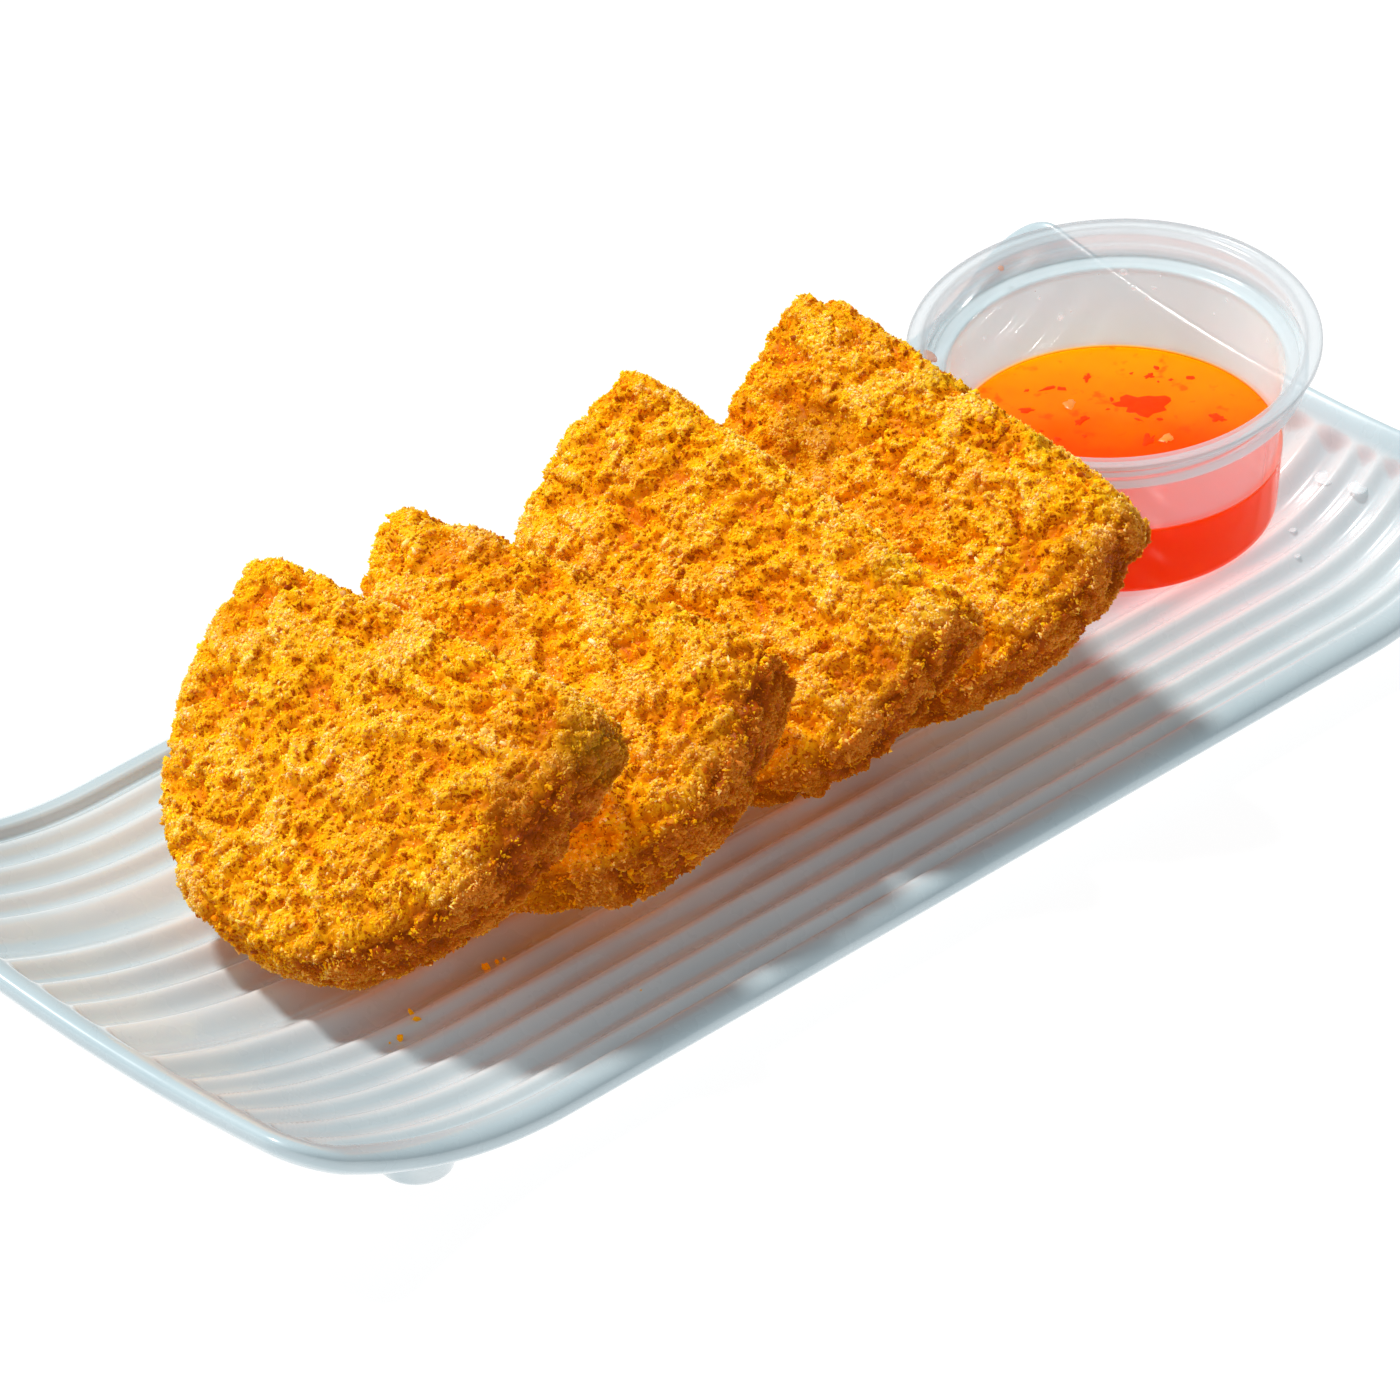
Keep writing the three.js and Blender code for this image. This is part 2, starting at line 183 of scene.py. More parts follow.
def welded(points, quads):
    """Points that coincide become one; a quad that loses a corner becomes a triangle."""
    _, first, back = np.unique(np.round(points / WELD).astype(np.int64), axis=0,
                               return_index=True, return_inverse=True)
    quads = back.ravel()[quads]
    doubled = quads == np.roll(quads, -1, axis=1)
    lost = doubled.sum(1)
    tris = quads[lost == 1][~doubled[lost == 1]].reshape(-1, 3)
    return points[first], [quads[lost == 0], tris]


def triangles(points, faces):
    """All faces as triangles, and where the first, second and third corners of each are."""
    tris = [f if f.shape[1] == 3 else np.concatenate([f[:, :3], f[:, [0, 2, 3]]]) for f in faces]
    tris = np.concatenate(tris)
    return tris, points[tris[:, 0]], points[tris[:, 1]], points[tris[:, 2]]


def facing_out(points, faces):
    """The faces, turned round if the body they close has a negative volume."""
    _, a, b, c = triangles(points, faces)
    if np.einsum("ij,ij->i", a, np.cross(b, c)).sum() < 0:
        return [f[:, ::-1] for f in faces]
    return faces


def point_normals(points, faces):
    """Each point's normal: the sum of its triangles' area vectors, made one long."""
    tris, a, b, c = triangles(points, faces)
    area = np.cross(b - a, c - a)
    total = np.zeros_like(points)
    for i in range(3):
        np.add.at(total, tris[:, i], area)
    return total / np.maximum(np.linalg.norm(total, axis=1, keepdims=True), 1e-12)


def lathe(path, sides):
    """A path of (radius, height) points, the first and last on the axis, carried round the axis:
    (r cos a, r sin a, z)."""
    turn = np.linspace(0, 2 * np.pi, sides + 1)
    r, z = path[:, :1], path[:, 1:]
    points = np.stack([r * np.cos(turn), r * np.sin(turn), z + 0 * turn], -1).reshape(-1, 3)
    return welded(points, grid_quads(len(path), sides + 1))


def softened(path, cut, steps=4):
    """A path whose inner corners p are rounded by the curve (1-t)^2 a + 2t(1-t) p + t^2 b, where a and b
    lie up to `cut` away from the corner, towards its neighbours."""
    path = np.array(path, float)
    t = np.linspace(0, 1, steps + 1)[:, None]
    rows = [path[:1]]
    for before, corner, after in zip(path, path[1:], path[2:]):
        ways = [before - corner, after - corner]
        spans = [np.linalg.norm(way) for way in ways]
        a, b = (corner + way * min(cut / span, 0.45) for way, span in zip(ways, spans))
        rows.append((1 - t) ** 2 * a + 2 * t * (1 - t) * corner + t ** 2 * b)
    rows.append(path[-1:])
    return np.concatenate(rows)


def joined(bodies):
    """Several (points, faces) bodies as one."""
    points, faces, count = [], [], 0
    for body_points, body_faces in bodies:
        points.append(body_points)
        faces += [f + count for f in facing_out(body_points, body_faces)]
        count += len(body_points)
    return np.concatenate(points), faces


def new_object(name, data):
    """An object in the scene from a mesh, a camera or a light."""
    made = bpy.data.objects.new(name, data)
    bpy.context.scene.collection.objects.link(made)
    return made


def new_piece(name, points, faces, material, slot, replaces=(), marks=None, flat=False):
    """A mesh piece from points in millimetres and a list of (m, 3) and (m, 4) faces. marks holds a number
    for each point under each name, for the material to read."""
    faces = [f for f in facing_out(points, faces) if len(f)]
    mesh = bpy.data.meshes.new(name)
    mesh.vertices.add(len(points))
    mesh.vertices.foreach_set("co", (points * MM).astype(np.float32).ravel())
    sizes = np.concatenate([np.full(len(f), f.shape[1]) for f in faces])
    corners = np.concatenate([f.ravel() for f in faces]).astype(np.int32)
    mesh.loops.add(len(corners))
    mesh.loops.foreach_set("vertex_index", corners)
    mesh.polygons.add(len(sizes))
    mesh.polygons.foreach_set("loop_start", np.concatenate([[0], np.cumsum(sizes)[:-1]]).astype(np.int32))
    mesh.update(calc_edges=True)
    if not flat:
        mesh.shade_smooth()
    for mark, values in (marks or {}).items():
        layer = mesh.attributes.new(mark, "FLOAT", "POINT")
        layer.data.foreach_set("value", np.asarray(values, np.float32))
    mesh.materials.append(material)
    piece = new_object(name, mesh)
    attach(piece, "root")
    if replaces:
        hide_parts(*replaces)
    return piece


# ---- Materials ----

def srgb(screen):
    """A colour given as three 0 to 255 screen values, as the light values that shaders take."""
    part = [v / 255 for v in screen]
    return tuple(v / 12.92 if v < 0.04045 else ((v + 0.055) / 1.055) ** 2.4 for v in part) + (1.0,)


# Colours as 0 to 255 screen values; the crust's tones run from painted shade in its hollows to painted
# highlight on its tips.
GLAZE = (228, 238, 241)
# Pooled glaze, also used as painted shade in the band along the rim.
GLAZE_POOLED_AND_RIM_SHADE = (186, 208, 216)
CORE_SHADE_TO_HIGHLIGHT = ((206, 104, 0), (238, 178, 4), (242, 208, 44), (246, 222, 96))
CRUMB_SHADE_TO_HIGHLIGHT = ((220, 132, 0), (240, 210, 20), (248, 240, 136), (255, 252, 224))
# Browned tones, for darker frying and for the painted shade on the near ends and lower edges.
BROWNED_AND_SHADED_TONES = ((116, 28, 0), (166, 58, 2), (222, 130, 30))
PUMPKIN_SKIN = (160, 158, 20)
# The crust's glow is painted light, standing for light that passes through the crumbs.
CRUST_GLOW = (255, 132, 0)
CORE_GLOW_STRENGTH = 0.2
CRUMB_GLOW_STRENGTH = 0.31
CUP_CLEAR = (211, 221, 226)
CUP_EDGES = (196, 201, 205)
CUP_WET = (255, 100, 0)
# Glow of the cup's wall that the light is behind: painted light.
CUP_GLOW = (172, 236, 240)
# The sauce from front to back: painted backlight.
SAUCE_SHADE_TO_BACKLIGHT = ((246, 48, 0), (252, 74, 0), (255, 146, 0))
SAUCE_DEPTHS = (250, 62, 3)
CHILI_RED = (250, 58, 0)
SEED_PALE = (250, 150, 40)
DROP_CLEAR = (246, 250, 252)
BLOT_PALE = (246, 190, 160)
FLOOR_GREYS = (98, 96)


class Finish:
    """A material under construction: its node tree, main shader and object coordinates."""

    def __init__(self, name):
        self.material = bpy.data.materials.new(name)
        self.material.use_nodes = True
        self.material.cycles.emission_sampling = "NONE"
        self.tree = self.material.node_tree
        self.shader = self.tree.nodes["Principled BSDF"]
        self.place = self.add("ShaderNodeTexCoord").outputs["Object"]

    def add(self, kind, **values):
        """A node with its properties."""
        node = self.tree.nodes.new(kind)
        for key, value in values.items():
            setattr(node, key, value)
        return node

    def link(self, output, target):
        self.tree.links.new(output, target)

    def feed(self, socket, output):
        """An output into one of the main shader's sockets."""
        self.link(output, self.shader.inputs[socket])

    def set(self, **values):
        """Main shader sockets, by name with underscores for spaces."""
        for key, value in values.items():
            self.shader.inputs[key.replace("_", " ")].default_value = value

    def axes(self):
        """X, Y and Z of the place."""
        node = self.add("ShaderNodeSeparateXYZ")
        self.link(self.place, node.inputs[0])
        return node.outputs

    def mark(self, name):
        """The number that the mesh keeps under a name."""
        return self.add("ShaderNodeAttribute", attribute_name=name).outputs["Fac"]

    def grain(self, size, detail=2.0):
        """Noise of 0 to 1 whose lumps are about `size` millimetres."""
        node = self.add("ShaderNodeTexNoise")
        node.inputs["Scale"].default_value = 1.0 / (size * MM)
        node.inputs["Detail"].default_value = detail
        node.inputs["Roughness"].default_value = 0.55
        self.link(self.place, node.inputs["Vector"])
        return node.outputs["Fac"]

    def mottle(self, size, low, high, detail=2.0):
        """Noise carried to values of low to high."""
        return self.span(self.grain(size, detail), 0.3, 0.7, low, high)

    def math(self, operation, a, b):
        """a and b are outputs or numbers."""
        node = self.add("ShaderNodeMath", operation=operation)
        for i, value in enumerate((a, b)):
            if hasattr(value, "is_linked"):
                self.link(value, node.inputs[i])
            else:
                node.inputs[i].default_value = value
        return node.outputs[0]

    def span(self, value, low, high, to_low=0.0, to_high=1.0):
        """A value of low to high carried to to_low to to_high, and clamped there."""
        node = self.add("ShaderNodeMapRange", clamp=True)
        for i, number in enumerate((low, high, to_low, to_high)):
            node.inputs[i + 1].default_value = number
        self.link(value, node.inputs[0])
        return node.outputs[0]

    def ramp(self, value, places, colours):
        """Screen colours at places from 0 to 1."""
        node = self.add("ShaderNodeValToRGB")
        band = node.color_ramp.elements
        while len(band) < len(places):
            band.new(0.5)
        for element, at, colour in zip(band, places, colours):
            element.position = at
            element.color = srgb(colour)
        self.link(value, node.inputs[0])
        return node.outputs["Color"]

    def mix(self, share, a, b):
        """From colour a to colour b by share; each is an output or a colour."""
        node = self.add("ShaderNodeMix", data_type="RGBA")
        self.link(share, node.inputs["Factor"])
        for key, value in (("A", a), ("B", b)):
            socket = [s for s in node.inputs if s.name == key and s.type == "RGBA"][0]
            if hasattr(value, "is_linked"):
                self.link(value, socket)
            else:
                socket.default_value = value
        return [s for s in node.outputs if s.type == "RGBA"][0]

    def bump(self, height, strength, distance):
        """Relief of `distance` millimetres from a height of 0 to 1."""
        node = self.add("ShaderNodeBump")
        node.inputs["Strength"].default_value = strength
        node.inputs["Distance"].default_value = distance * MM
        self.link(height, node.inputs["Height"])
        self.feed("Normal", node.outputs["Normal"])


def glaze_finish():
    """Pale blue-grey glaze on white porcelain: glossy, a little wavy, bluer where it pools in the ripples,
    and bluer and darker in a band round the rim, which is painted shade."""
    f = Finish("celadon_glaze")
    pool_and_rim_shade = f.math("ADD", f.mark("pool_and_rim_shade"), f.mottle(28, -0.15, 0.15))
    f.feed("Base Color", f.mix(f.span(pool_and_rim_shade, 0.0, 1.0), srgb(GLAZE), srgb(GLAZE_POOLED_AND_RIM_SHADE)))
    f.feed("Roughness", f.mottle(9, 0.22, 0.34, 3))
    f.set(Coat_Weight=1.0, Coat_Roughness=0.1, Coat_IOR=1.55)
    f.bump(f.grain(6), 0.25, 0.12)
    return f.material


def crust_finish(name, tones, glow):
    """Fried bread crumbs: gold with pale tips and browned hollows, which are painted highlight and painted
    shade, patches of darker frying, painted shade on the ends that face the near side and on the lower
    edges, and green where the pumpkin's skin shows through. The glow is painted light that stands for
    light passing through the crumbs."""
    f = Finish(name)
    deep, gold, pale, tip_highlight = tones
    # From painted shade in the hollows to painted highlight on the tips, with a fine random grain.
    tone_and_painted_light = f.math("ADD", f.math("MULTIPLY", f.mark("tone_and_painted_light"), 0.75), f.math("MULTIPLY", f.grain(1.1), 0.25))
    body = f.ramp(tone_and_painted_light, (0.12, 0.42, 0.6, 0.82, 1.0), (deep, gold, gold, pale, tip_highlight))
    blotch = f.span(f.grain(13), 0.45, 0.72, 0.0, 0.4)
    body = f.mix(blotch, body, srgb(deep))
    browned_and_shaded = f.ramp(tone_and_painted_light, (0.15, 0.5, 0.95), BROWNED_AND_SHADED_TONES)
    fried_and_painted_shade, skin = f.mark("fried_and_painted_shade"), f.mark("skin")
    body = f.mix(f.span(fried_and_painted_shade, 0.0, 1.0, 0.0, 0.95), body, browned_and_shaded)
    f.feed("Base Color", f.mix(f.span(skin, 0.0, 1.0, 0.0, 0.75), body, srgb(PUMPKIN_SKIN)))
    f.feed("Roughness", f.mottle(2.2, 0.26, 0.55, 1))
    # Painted light: the crust glows orange, less where it fried dark.
    f.feed("Emission Strength", f.span(fried_and_painted_shade, 0.0, 1.0, glow, 0.3 * glow))
    f.set(Emission_Color=srgb(CRUST_GLOW), Specular_IOR_Level=0.07,
          Subsurface_Weight=0.5, Subsurface_Radius=(1.0, 0.5, 0.1), Subsurface_Scale=0.0014)
    f.bump(f.grain(0.45), 0.5, 0.25)
    return f.material


def cup_finish():
    """Thin see-through plastic: a little milky where it is dry, more so in its ring and at its rim's
    edges, and clear orange where the sauce wets it. On the wall that the light is behind, more milk and a
    pale blue glow are painted backlight."""
    f = Finish("milky_clear_plastic")
    level = sauce_level() * MM
    dry = f.span(f.axes()["Z"], level, level + 0.4 * MM)
    clear = f.mix(f.mark("rim"), srgb(CUP_CLEAR), srgb(CUP_EDGES))
    f.feed("Base Color", f.mix(dry, srgb(CUP_WET), clear))
    # Painted light: the dry wall that the light is behind glows pale blue.
    f.feed("Emission Strength", f.math("MULTIPLY", dry, f.math("MULTIPLY", f.mark("painted_backlight"), 0.32)))
    f.feed("Alpha", f.math("ADD", f.math("MULTIPLY", dry, MILK_DRY), f.mark("milk")))
    f.feed("Roughness", f.mottle(5, 0.12, 0.2))
    f.set(Emission_Color=srgb(CUP_GLOW), IOR=1.45, Coat_Weight=0.6, Coat_Roughness=0.04,
          Subsurface_Weight=0.3, Subsurface_Radius=(1, 1, 1), Subsurface_Scale=0.001)
    f.bump(f.grain(7), 0.2, 0.1)
    return f.material


def sauce_finish():
    """Clear chili sauce in painted backlight: amber on the side lit from behind, red-orange in front. It
    glows a
    little in its own colour: painted light for the light that passes through it.
    """
    f = Finish("chili_sauce")
    axes, (way_x, way_y) = f.axes(), LIGHT_WAY
    along = f.math("ADD", f.math("MULTIPLY", axes["X"], way_x), f.math("MULTIPLY", axes["Y"], way_y))
    middle = (CUP_CENTRE[0] * way_x + CUP_CENTRE[1] * way_y) * MM
    uneven = f.math("ADD", along, f.math("MULTIPLY", f.grain(9), 12 * MM))
    # Painted backlight: amber on the side lit from behind, red-orange in front.
    painted_backlight = f.span(uneven, middle - 22 * MM, middle + 32 * MM)
    colour = f.ramp(painted_backlight, (0.0, 0.45, 1.0), SAUCE_SHADE_TO_BACKLIGHT)
    colour = f.mix(f.span(f.grain(3.4), 0.6, 0.72, 0.0, 0.6), colour, srgb(SAUCE_DEPTHS))
    f.feed("Base Color", colour)
    f.feed("Emission Color", colour)
    f.feed("Roughness", f.mottle(4, 0.02, 0.06))
    # Painted light: the sauce glows a little in its own colour.
    f.set(Emission_Strength=0.12, IOR=1.38, Specular_IOR_Level=0.08,
          Subsurface_Weight=0.8, Subsurface_Radius=(1.0, 0.35, 0.05), Subsurface_Scale=0.018)
    f.bump(f.grain(12, 1), 0.1, 0.2)
    return f.material


def plain_finish(name, colour, roughness, spread, coat=0.0, shine=0.15, scatter=0.0, solid=1.0, glow=0.0):
    """One colour with a mottle of its own, for the small things."""
    f = Finish(name)
    colour = srgb(colour)
    dark = tuple(v * (1 - spread) for v in colour[:3]) + (1.0,)
    f.feed("Base Color", f.mix(f.mottle(1.2, 0.0, 1.0, 3), dark, colour))
    f.feed("Roughness", f.mottle(2, roughness * 0.8, roughness * 1.2))
    f.set(Coat_Weight=coat, Specular_IOR_Level=shine, Alpha=solid, Emission_Color=colour,
          Emission_Strength=glow, Subsurface_Weight=scatter, Subsurface_Scale=0.001)
    return f.material


# ---- Plate ----

def sweep(x, y):
    """Lift of the plate at a place: rise * way^power towards each end, and CORNER_LIFT * way^2 * across^2
    more towards the corners, with way and across going from 0 to 1."""
    run, rise, power = (np.where(x < 0, a, b) for a, b in zip(LEFT_END, RIGHT_END))
    way = np.maximum(0, (np.abs(x) - PLATE_LENGTH / 2 + run) / run)
    return rise * way ** power + CORNER_LIFT * way ** 2 * (2 * y / PLATE_WIDTH) ** 2


def ripple(y):
    """Depth under crest height: depth ((1 - cos 2 pi u) / 2)^0.8 with u going from 0 to 1 between two
    crests, deeper in wider gaps."""
    side = PLATE_WIDTH / 2 - CREST_SIDE
    crests = np.array((-side, *RIPPLE_CRESTS, side))
    gap = np.clip(np.searchsorted(crests, y) - 1, 0, len(crests) - 2)
    wide = crests[gap + 1] - crests[gap]
    depth = np.minimum(RIPPLE_MOST, wide * RIPPLE_SHARE)
    wave = depth * (0.5 - 0.5 * np.cos(2 * np.pi * (y - crests[gap]) / wide)) ** RIPPLE_POWER
    return np.where(np.abs(y) < side, wave, 0)


def inset(x, y):
    """How far a place lies in from the plate's outline, a rectangle with corners rounded by a radius r:
    r - |max(q, 0)| - min(max q, 0), where q is how far the place lies past the corner arcs' middles."""
    qx = np.abs(x) - PLATE_LENGTH / 2 + PLATE_CORNER
    qy = np.abs(y) - PLATE_WIDTH / 2 + PLATE_CORNER
    outside = np.hypot(np.maximum(qx, 0), np.maximum(qy, 0))
    return PLATE_CORNER - outside - np.minimum(np.maximum(qx, qy), 0)


def edge_round(distance):
    """How much of the half thickness is gone near the rim: a quarter ellipse, as 1 - sqrt(1 - out^2) with
    out going from 0 to 1 over EDGE_ROUND."""
    out = np.clip(1 - distance / EDGE_ROUND, 0, 1)
    return (PLATE_THICK / 2 - EDGE_FLAT) * (1 - np.sqrt(1 - out ** 2))


def plate_top(x, y):
    """Height of the ripples' crests: CREST_Z plus the sweep."""
    return CREST_Z + sweep(x, y)


def plate_surface(x, y):
    """Height of the rippled top at a place: the swept crest height, less the ripples, which fade in behind
    the rim as 3t^2 - 2t^3, less the rounding of the edge."""
    fade = np.clip((inset(x, y) - RIM_PLAIN) / RIM_FADE, 0, 1)
    fade = fade * fade * (3 - 2 * fade)
    return plate_top(x, y) - ripple(y) * fade - edge_round(inset(x, y))


def plate_outline():
    """Points round the outline, from the quarter with x and y above 0 by mirroring: the straight sides
    evenly, fine across the ends' ripples, and the corner as an arc."""
    half, wide, corner = PLATE_LENGTH / 2, PLATE_WIDTH / 2, PLATE_CORNER
    spine = half - wide
    at_end, at_corner, near_it, at_side = OUTLINE_STEPS
    arc = np.linspace(0, np.pi / 2, at_corner)
    end = np.stack([np.full(at_end, half), np.linspace(0, wide - corner, at_end)], 1)
    bend = np.stack([half - corner + corner * np.cos(arc), wide - corner + corner * np.sin(arc)], 1)
    near = np.stack([np.linspace(half - corner, spine, near_it), np.full(near_it, wide)], 1)
    side = np.stack([np.linspace(spine, 0, at_side), np.full(at_side, wide)], 1)
    quarter = np.concatenate([end, bend[1:], near[1:], side[1:]])
    left = quarter[::-1] * (-1, 1)
    upper = np.concatenate([quarter, left[1:]])
    return np.concatenate([upper, upper[::-1][1:] * (1, -1)])


def foot(x, y):
    """A short round stump under the plate, flaring to where it joins."""
    base, top_r = FOOT_RADII
    top = float(plate_top(x, y)) - PLATE_THICK + 2.0
    path = softened([(0, 0), (base, 0), (base + 0.5, 2.2), (top_r, top - 2.2), (top_r + 1.6, top),
                     (0, top)], 1.2)
    points, faces = lathe(path, 48)
    return points + (x, y, 0), faces


def make_plate():
    """Each line of the grid runs from the plate's middle line out to its rim, over it and back under:
    middle + k (outline - middle), with k close together at the rim."""
    outline = plate_outline()
    spine = np.clip(outline[:, 0], -(PLATE_LENGTH - PLATE_WIDTH) / 2, (PLATE_LENGTH - PLATE_WIDTH) / 2)
    spine = np.stack([spine, np.zeros(len(spine))], 1)
    rim = EDGE_ROUND * (1 - np.cos(np.linspace(0, np.pi / 2, 10)))
    inner = np.concatenate([np.arange(4.1, 7.5, 0.45), np.arange(7.9, PLATE_WIDTH / 2 - 0.4, 0.72)])
    top_in = np.concatenate([rim, inner, [PLATE_WIDTH / 2]])[::-1]
    under_in = np.concatenate([rim[1:], [6, 10, 18, 30, 45, PLATE_WIDTH / 2]])
    grids = []
    for rows, under in ((top_in, False), (under_in, True)):
        k = (1 - rows / (PLATE_WIDTH / 2))[:, None, None]
        flat = spine + k * (outline - spine)
        x, y = flat[..., 0], flat[..., 1]
        z = plate_top(x, y) - PLATE_THICK + edge_round(inset(x, y)) if under else plate_surface(x, y)
        grids.append(np.stack([x, y, z], -1))
    grid = np.concatenate(grids)
    body = welded(grid.reshape(-1, 3), grid_quads(*grid.shape[:2]))
    fx, fy = FOOT_CENTRE
    feet = [foot(sx * fx, sy * fy) for sx in (-1, 1) for sy in (-1, 1)]
    points, faces = joined([body, *feet])
    away = inset(points[:, 0], points[:, 1])
    # Glaze pooled in the ripples, and painted shade in the band along the rim.
    band, band_fade = RIM_PAINTED_SHADE_BAND
    pool_and_rim_shade = np.maximum(POOL_IN_RIPPLES * np.clip(ripple(points[:, 1]) / RIPPLE_MOST, 0, 1),
                      RIM_PAINTED_SHADE * np.clip((band - away) / band_fade, 0, 1))
    new_piece("glazed_plate", points, faces, glaze_finish(), "glaze", ["plate"], {"pool_and_rim_shade": pool_and_rim_shade})


# ---- Croquettes ----

def box_sheets(counts):
    """The surface of the box from -1 to 1 as six grids, welded."""
    points, quads, count = [], [], 0
    for axis in range(3):
        n, m = counts[(axis + 1) % 3] + 1, counts[(axis + 2) % 3] + 1
        a, b = np.meshgrid(np.linspace(-1, 1, n), np.linspace(-1, 1, m), indexing="ij")
        for side in (-1, 1):
            sheet = np.empty((n, m, 3))
            sheet[..., axis], sheet[..., (axis + 1) % 3], sheet[..., (axis + 2) % 3] = side, a, b
            cells = grid_quads(n, m)
            quads.append((cells if side > 0 else cells[:, ::-1]) + count)
            points.append(sheet.reshape(-1, 3))
            count += n * m
    return welded(np.concatenate(points), np.concatenate(quads))


def slice_form(slice_, cube):
    """A pillow-like slab on the slice's outline. The angle round a square ring picks the outline's point:
    an upper and a lower half of |across|^p + |up|^p = 1 with their own p. The ring's size and the depth w
    share the slab by (ring^e + w^e)^(-1/e)."""
    s, t, w = cube.T
    ring = np.maximum(np.abs(s), np.abs(t))
    wide = np.abs(s) >= np.abs(t)
    angle = np.where(wide, np.pi / 4 * t / np.where(wide & (s != 0), s, 1) + np.pi * (s < 0),
                     np.pi / 2 - np.pi / 4 * s / np.where(~wide, t, 1) + np.pi * (t < 0))
    c, k = np.cos(angle), np.sin(angle)
    power = np.where(k >= 0, slice_["square"], slice_["round"])
    height = np.where(k >= 0, slice_["top"], slice_["belly"])
    reach = (np.abs(c) ** power + np.abs(k) ** power) ** (-1 / power)
    across, up = slice_["half"] * reach * c, height * reach * k
    up = up + slice_["slant"] * across * np.clip(up / slice_["top"], 0, 1)
    e = SLICE_EDGE_POWER
    shrink = (ring ** e + np.abs(w) ** e) ** (-1 / e)
    crown = 1 + SLICE_CROWN * (1 - ring ** 2)
    deep = slice_["thick"] / 2 * w * shrink * crown
    return np.stack([across * ring * shrink, up * ring * shrink, deep], 1)


def slice_axes(slice_):
    """Across to the near side, up the face, and out of the face towards the plate's left end."""
    turn, lean, roll = (math.radians(slice_[key]) for key in ("turn", "lean", "roll"))
    side = np.array([-math.sin(turn), -math.cos(turn), 0])
    ahead = np.array([math.cos(turn), -math.sin(turn), 0])
    up_z = np.array([0, 0, 1])
    climb = ahead * math.cos(lean) + up_z * math.sin(lean)
    out = up_z * math.cos(lean) - ahead * math.sin(lean)
    across = side * math.cos(roll) + climb * math.sin(roll)
    up = climb * math.cos(roll) - side * math.sin(roll)
    return np.stack([across, up, out])


def spots(local, places):
    """A mask of 0 to 1 from round spots (across, up, out, radius, strength) with uneven edges."""
    mask = np.zeros(len(local))
    for across, up, out, radius, strength in places:
        away = np.linalg.norm((local - (across, up, out)) * (1, 1, 0.7), axis=1) / radius
        away = away + 0.35 * lumps(local, 4.0, 3.0)
        mask = np.maximum(mask, strength * np.clip(1.6 - 1.4 * away, 0, 1))
    return mask


# Where the pumpkin's green skin shows and where the crust fried darker, in each slice's own directions.
SKIN = (
    [(38, 6, 2, 7, 0.5)],
    [(33, 12, 5, 7, 0.8), (18, 14, 6, 4, 0.4)],
    [(30, 14, 5, 5, 0.35)],
    [(-6, 17, 5, 5, 0.55), (20, 17, 4, 5, 0.6), (40, 13, 2, 5, 0.4)],
)
FRIED = (
    [(36, -10, 10, 8, 0.8), (41, 0, 0, 12, 0.45)],
    [(38, -16, 4, 9, 0.45)],
    [(44, -4, 0, 10, 0.4)],
    [(-22, -6, 8, 9, 0.55), (44, 2, -3, 10, 0.4)],
)


def crust_relief(local, seed):
    """Height of the crust over its mean: flat-topped clumps with steep sides, as 3t^2 - 2t^3 of noise of
    two sizes, with small lumps |noise| all over, on broad swells. The places are first shifted by noise.
    Above a the height h levels off as a + b tanh((h - a) / b)."""
    ragged = local + SHIFT[1] * np.stack([lumps(local, SHIFT[0], seed + 5 + i) for i in range(3)], 1)
    (wide, wide_share), (narrow, narrow_share) = CLUMPS
    rise = np.clip(CLUMP_SHARE + wide_share * lumps(ragged, wide, seed + 1)
                   + narrow_share * lumps(ragged, narrow, seed + 2), 0, 1)
    clumps = CLUMP_HIGH * rise * rise * (3 - 2 * rise) - CLUMP_MEAN
    small = SMALL_LUMPS[1] * np.abs(lumps(ragged, SMALL_LUMPS[0], seed + 3))
    small = small + GRAINY[1] * lumps(local, GRAINY[0], seed + 4)
    height = clumps + small + SWELLS[1] * lumps(ragged, SWELLS[0], seed) - SWELLS[2]
    a, b = LEVEL_OFF
    return np.where(height > a, a + b * np.tanh((height - a) / b), height)


def crust_marks(local, relief, normals, index, spread):
    """How pale each point is, how dark it fried and how green it shows, for the material. Paleness grows
    with the relief's height, as painted highlight on the tips and painted shade in the hollows. The ends
    that face the near
    side and the lower edges are darker: painted shade, kept with the frying."""
    # Painted shade on the ends that face the near side and on the lower edges, added to the fried spots.
    shaded_near_end = np.clip((normals[:, 0] - 0.1) / 0.45, 0, 1)
    shaded_lower_edge = np.clip((-normals[:, 1] - 0.35) / 0.5, 0, 1)
    fried_and_painted_shade = np.maximum(spots(local, FRIED[index]), shaded_near_end + 0.6 * shaded_lower_edge)
    # Painted highlight on high relief and painted shade in the hollows, with a random spread.
    tone_and_painted_light = TONE_MEAN + PAINTED_LIGHT_BY_HEIGHT * relief + spread
    return {"tone_and_painted_light": np.clip(tone_and_painted_light, 0, 1), "fried_and_painted_shade": np.clip(fried_and_painted_shade, 0, 1), "skin": spots(local, SKIN[index])}


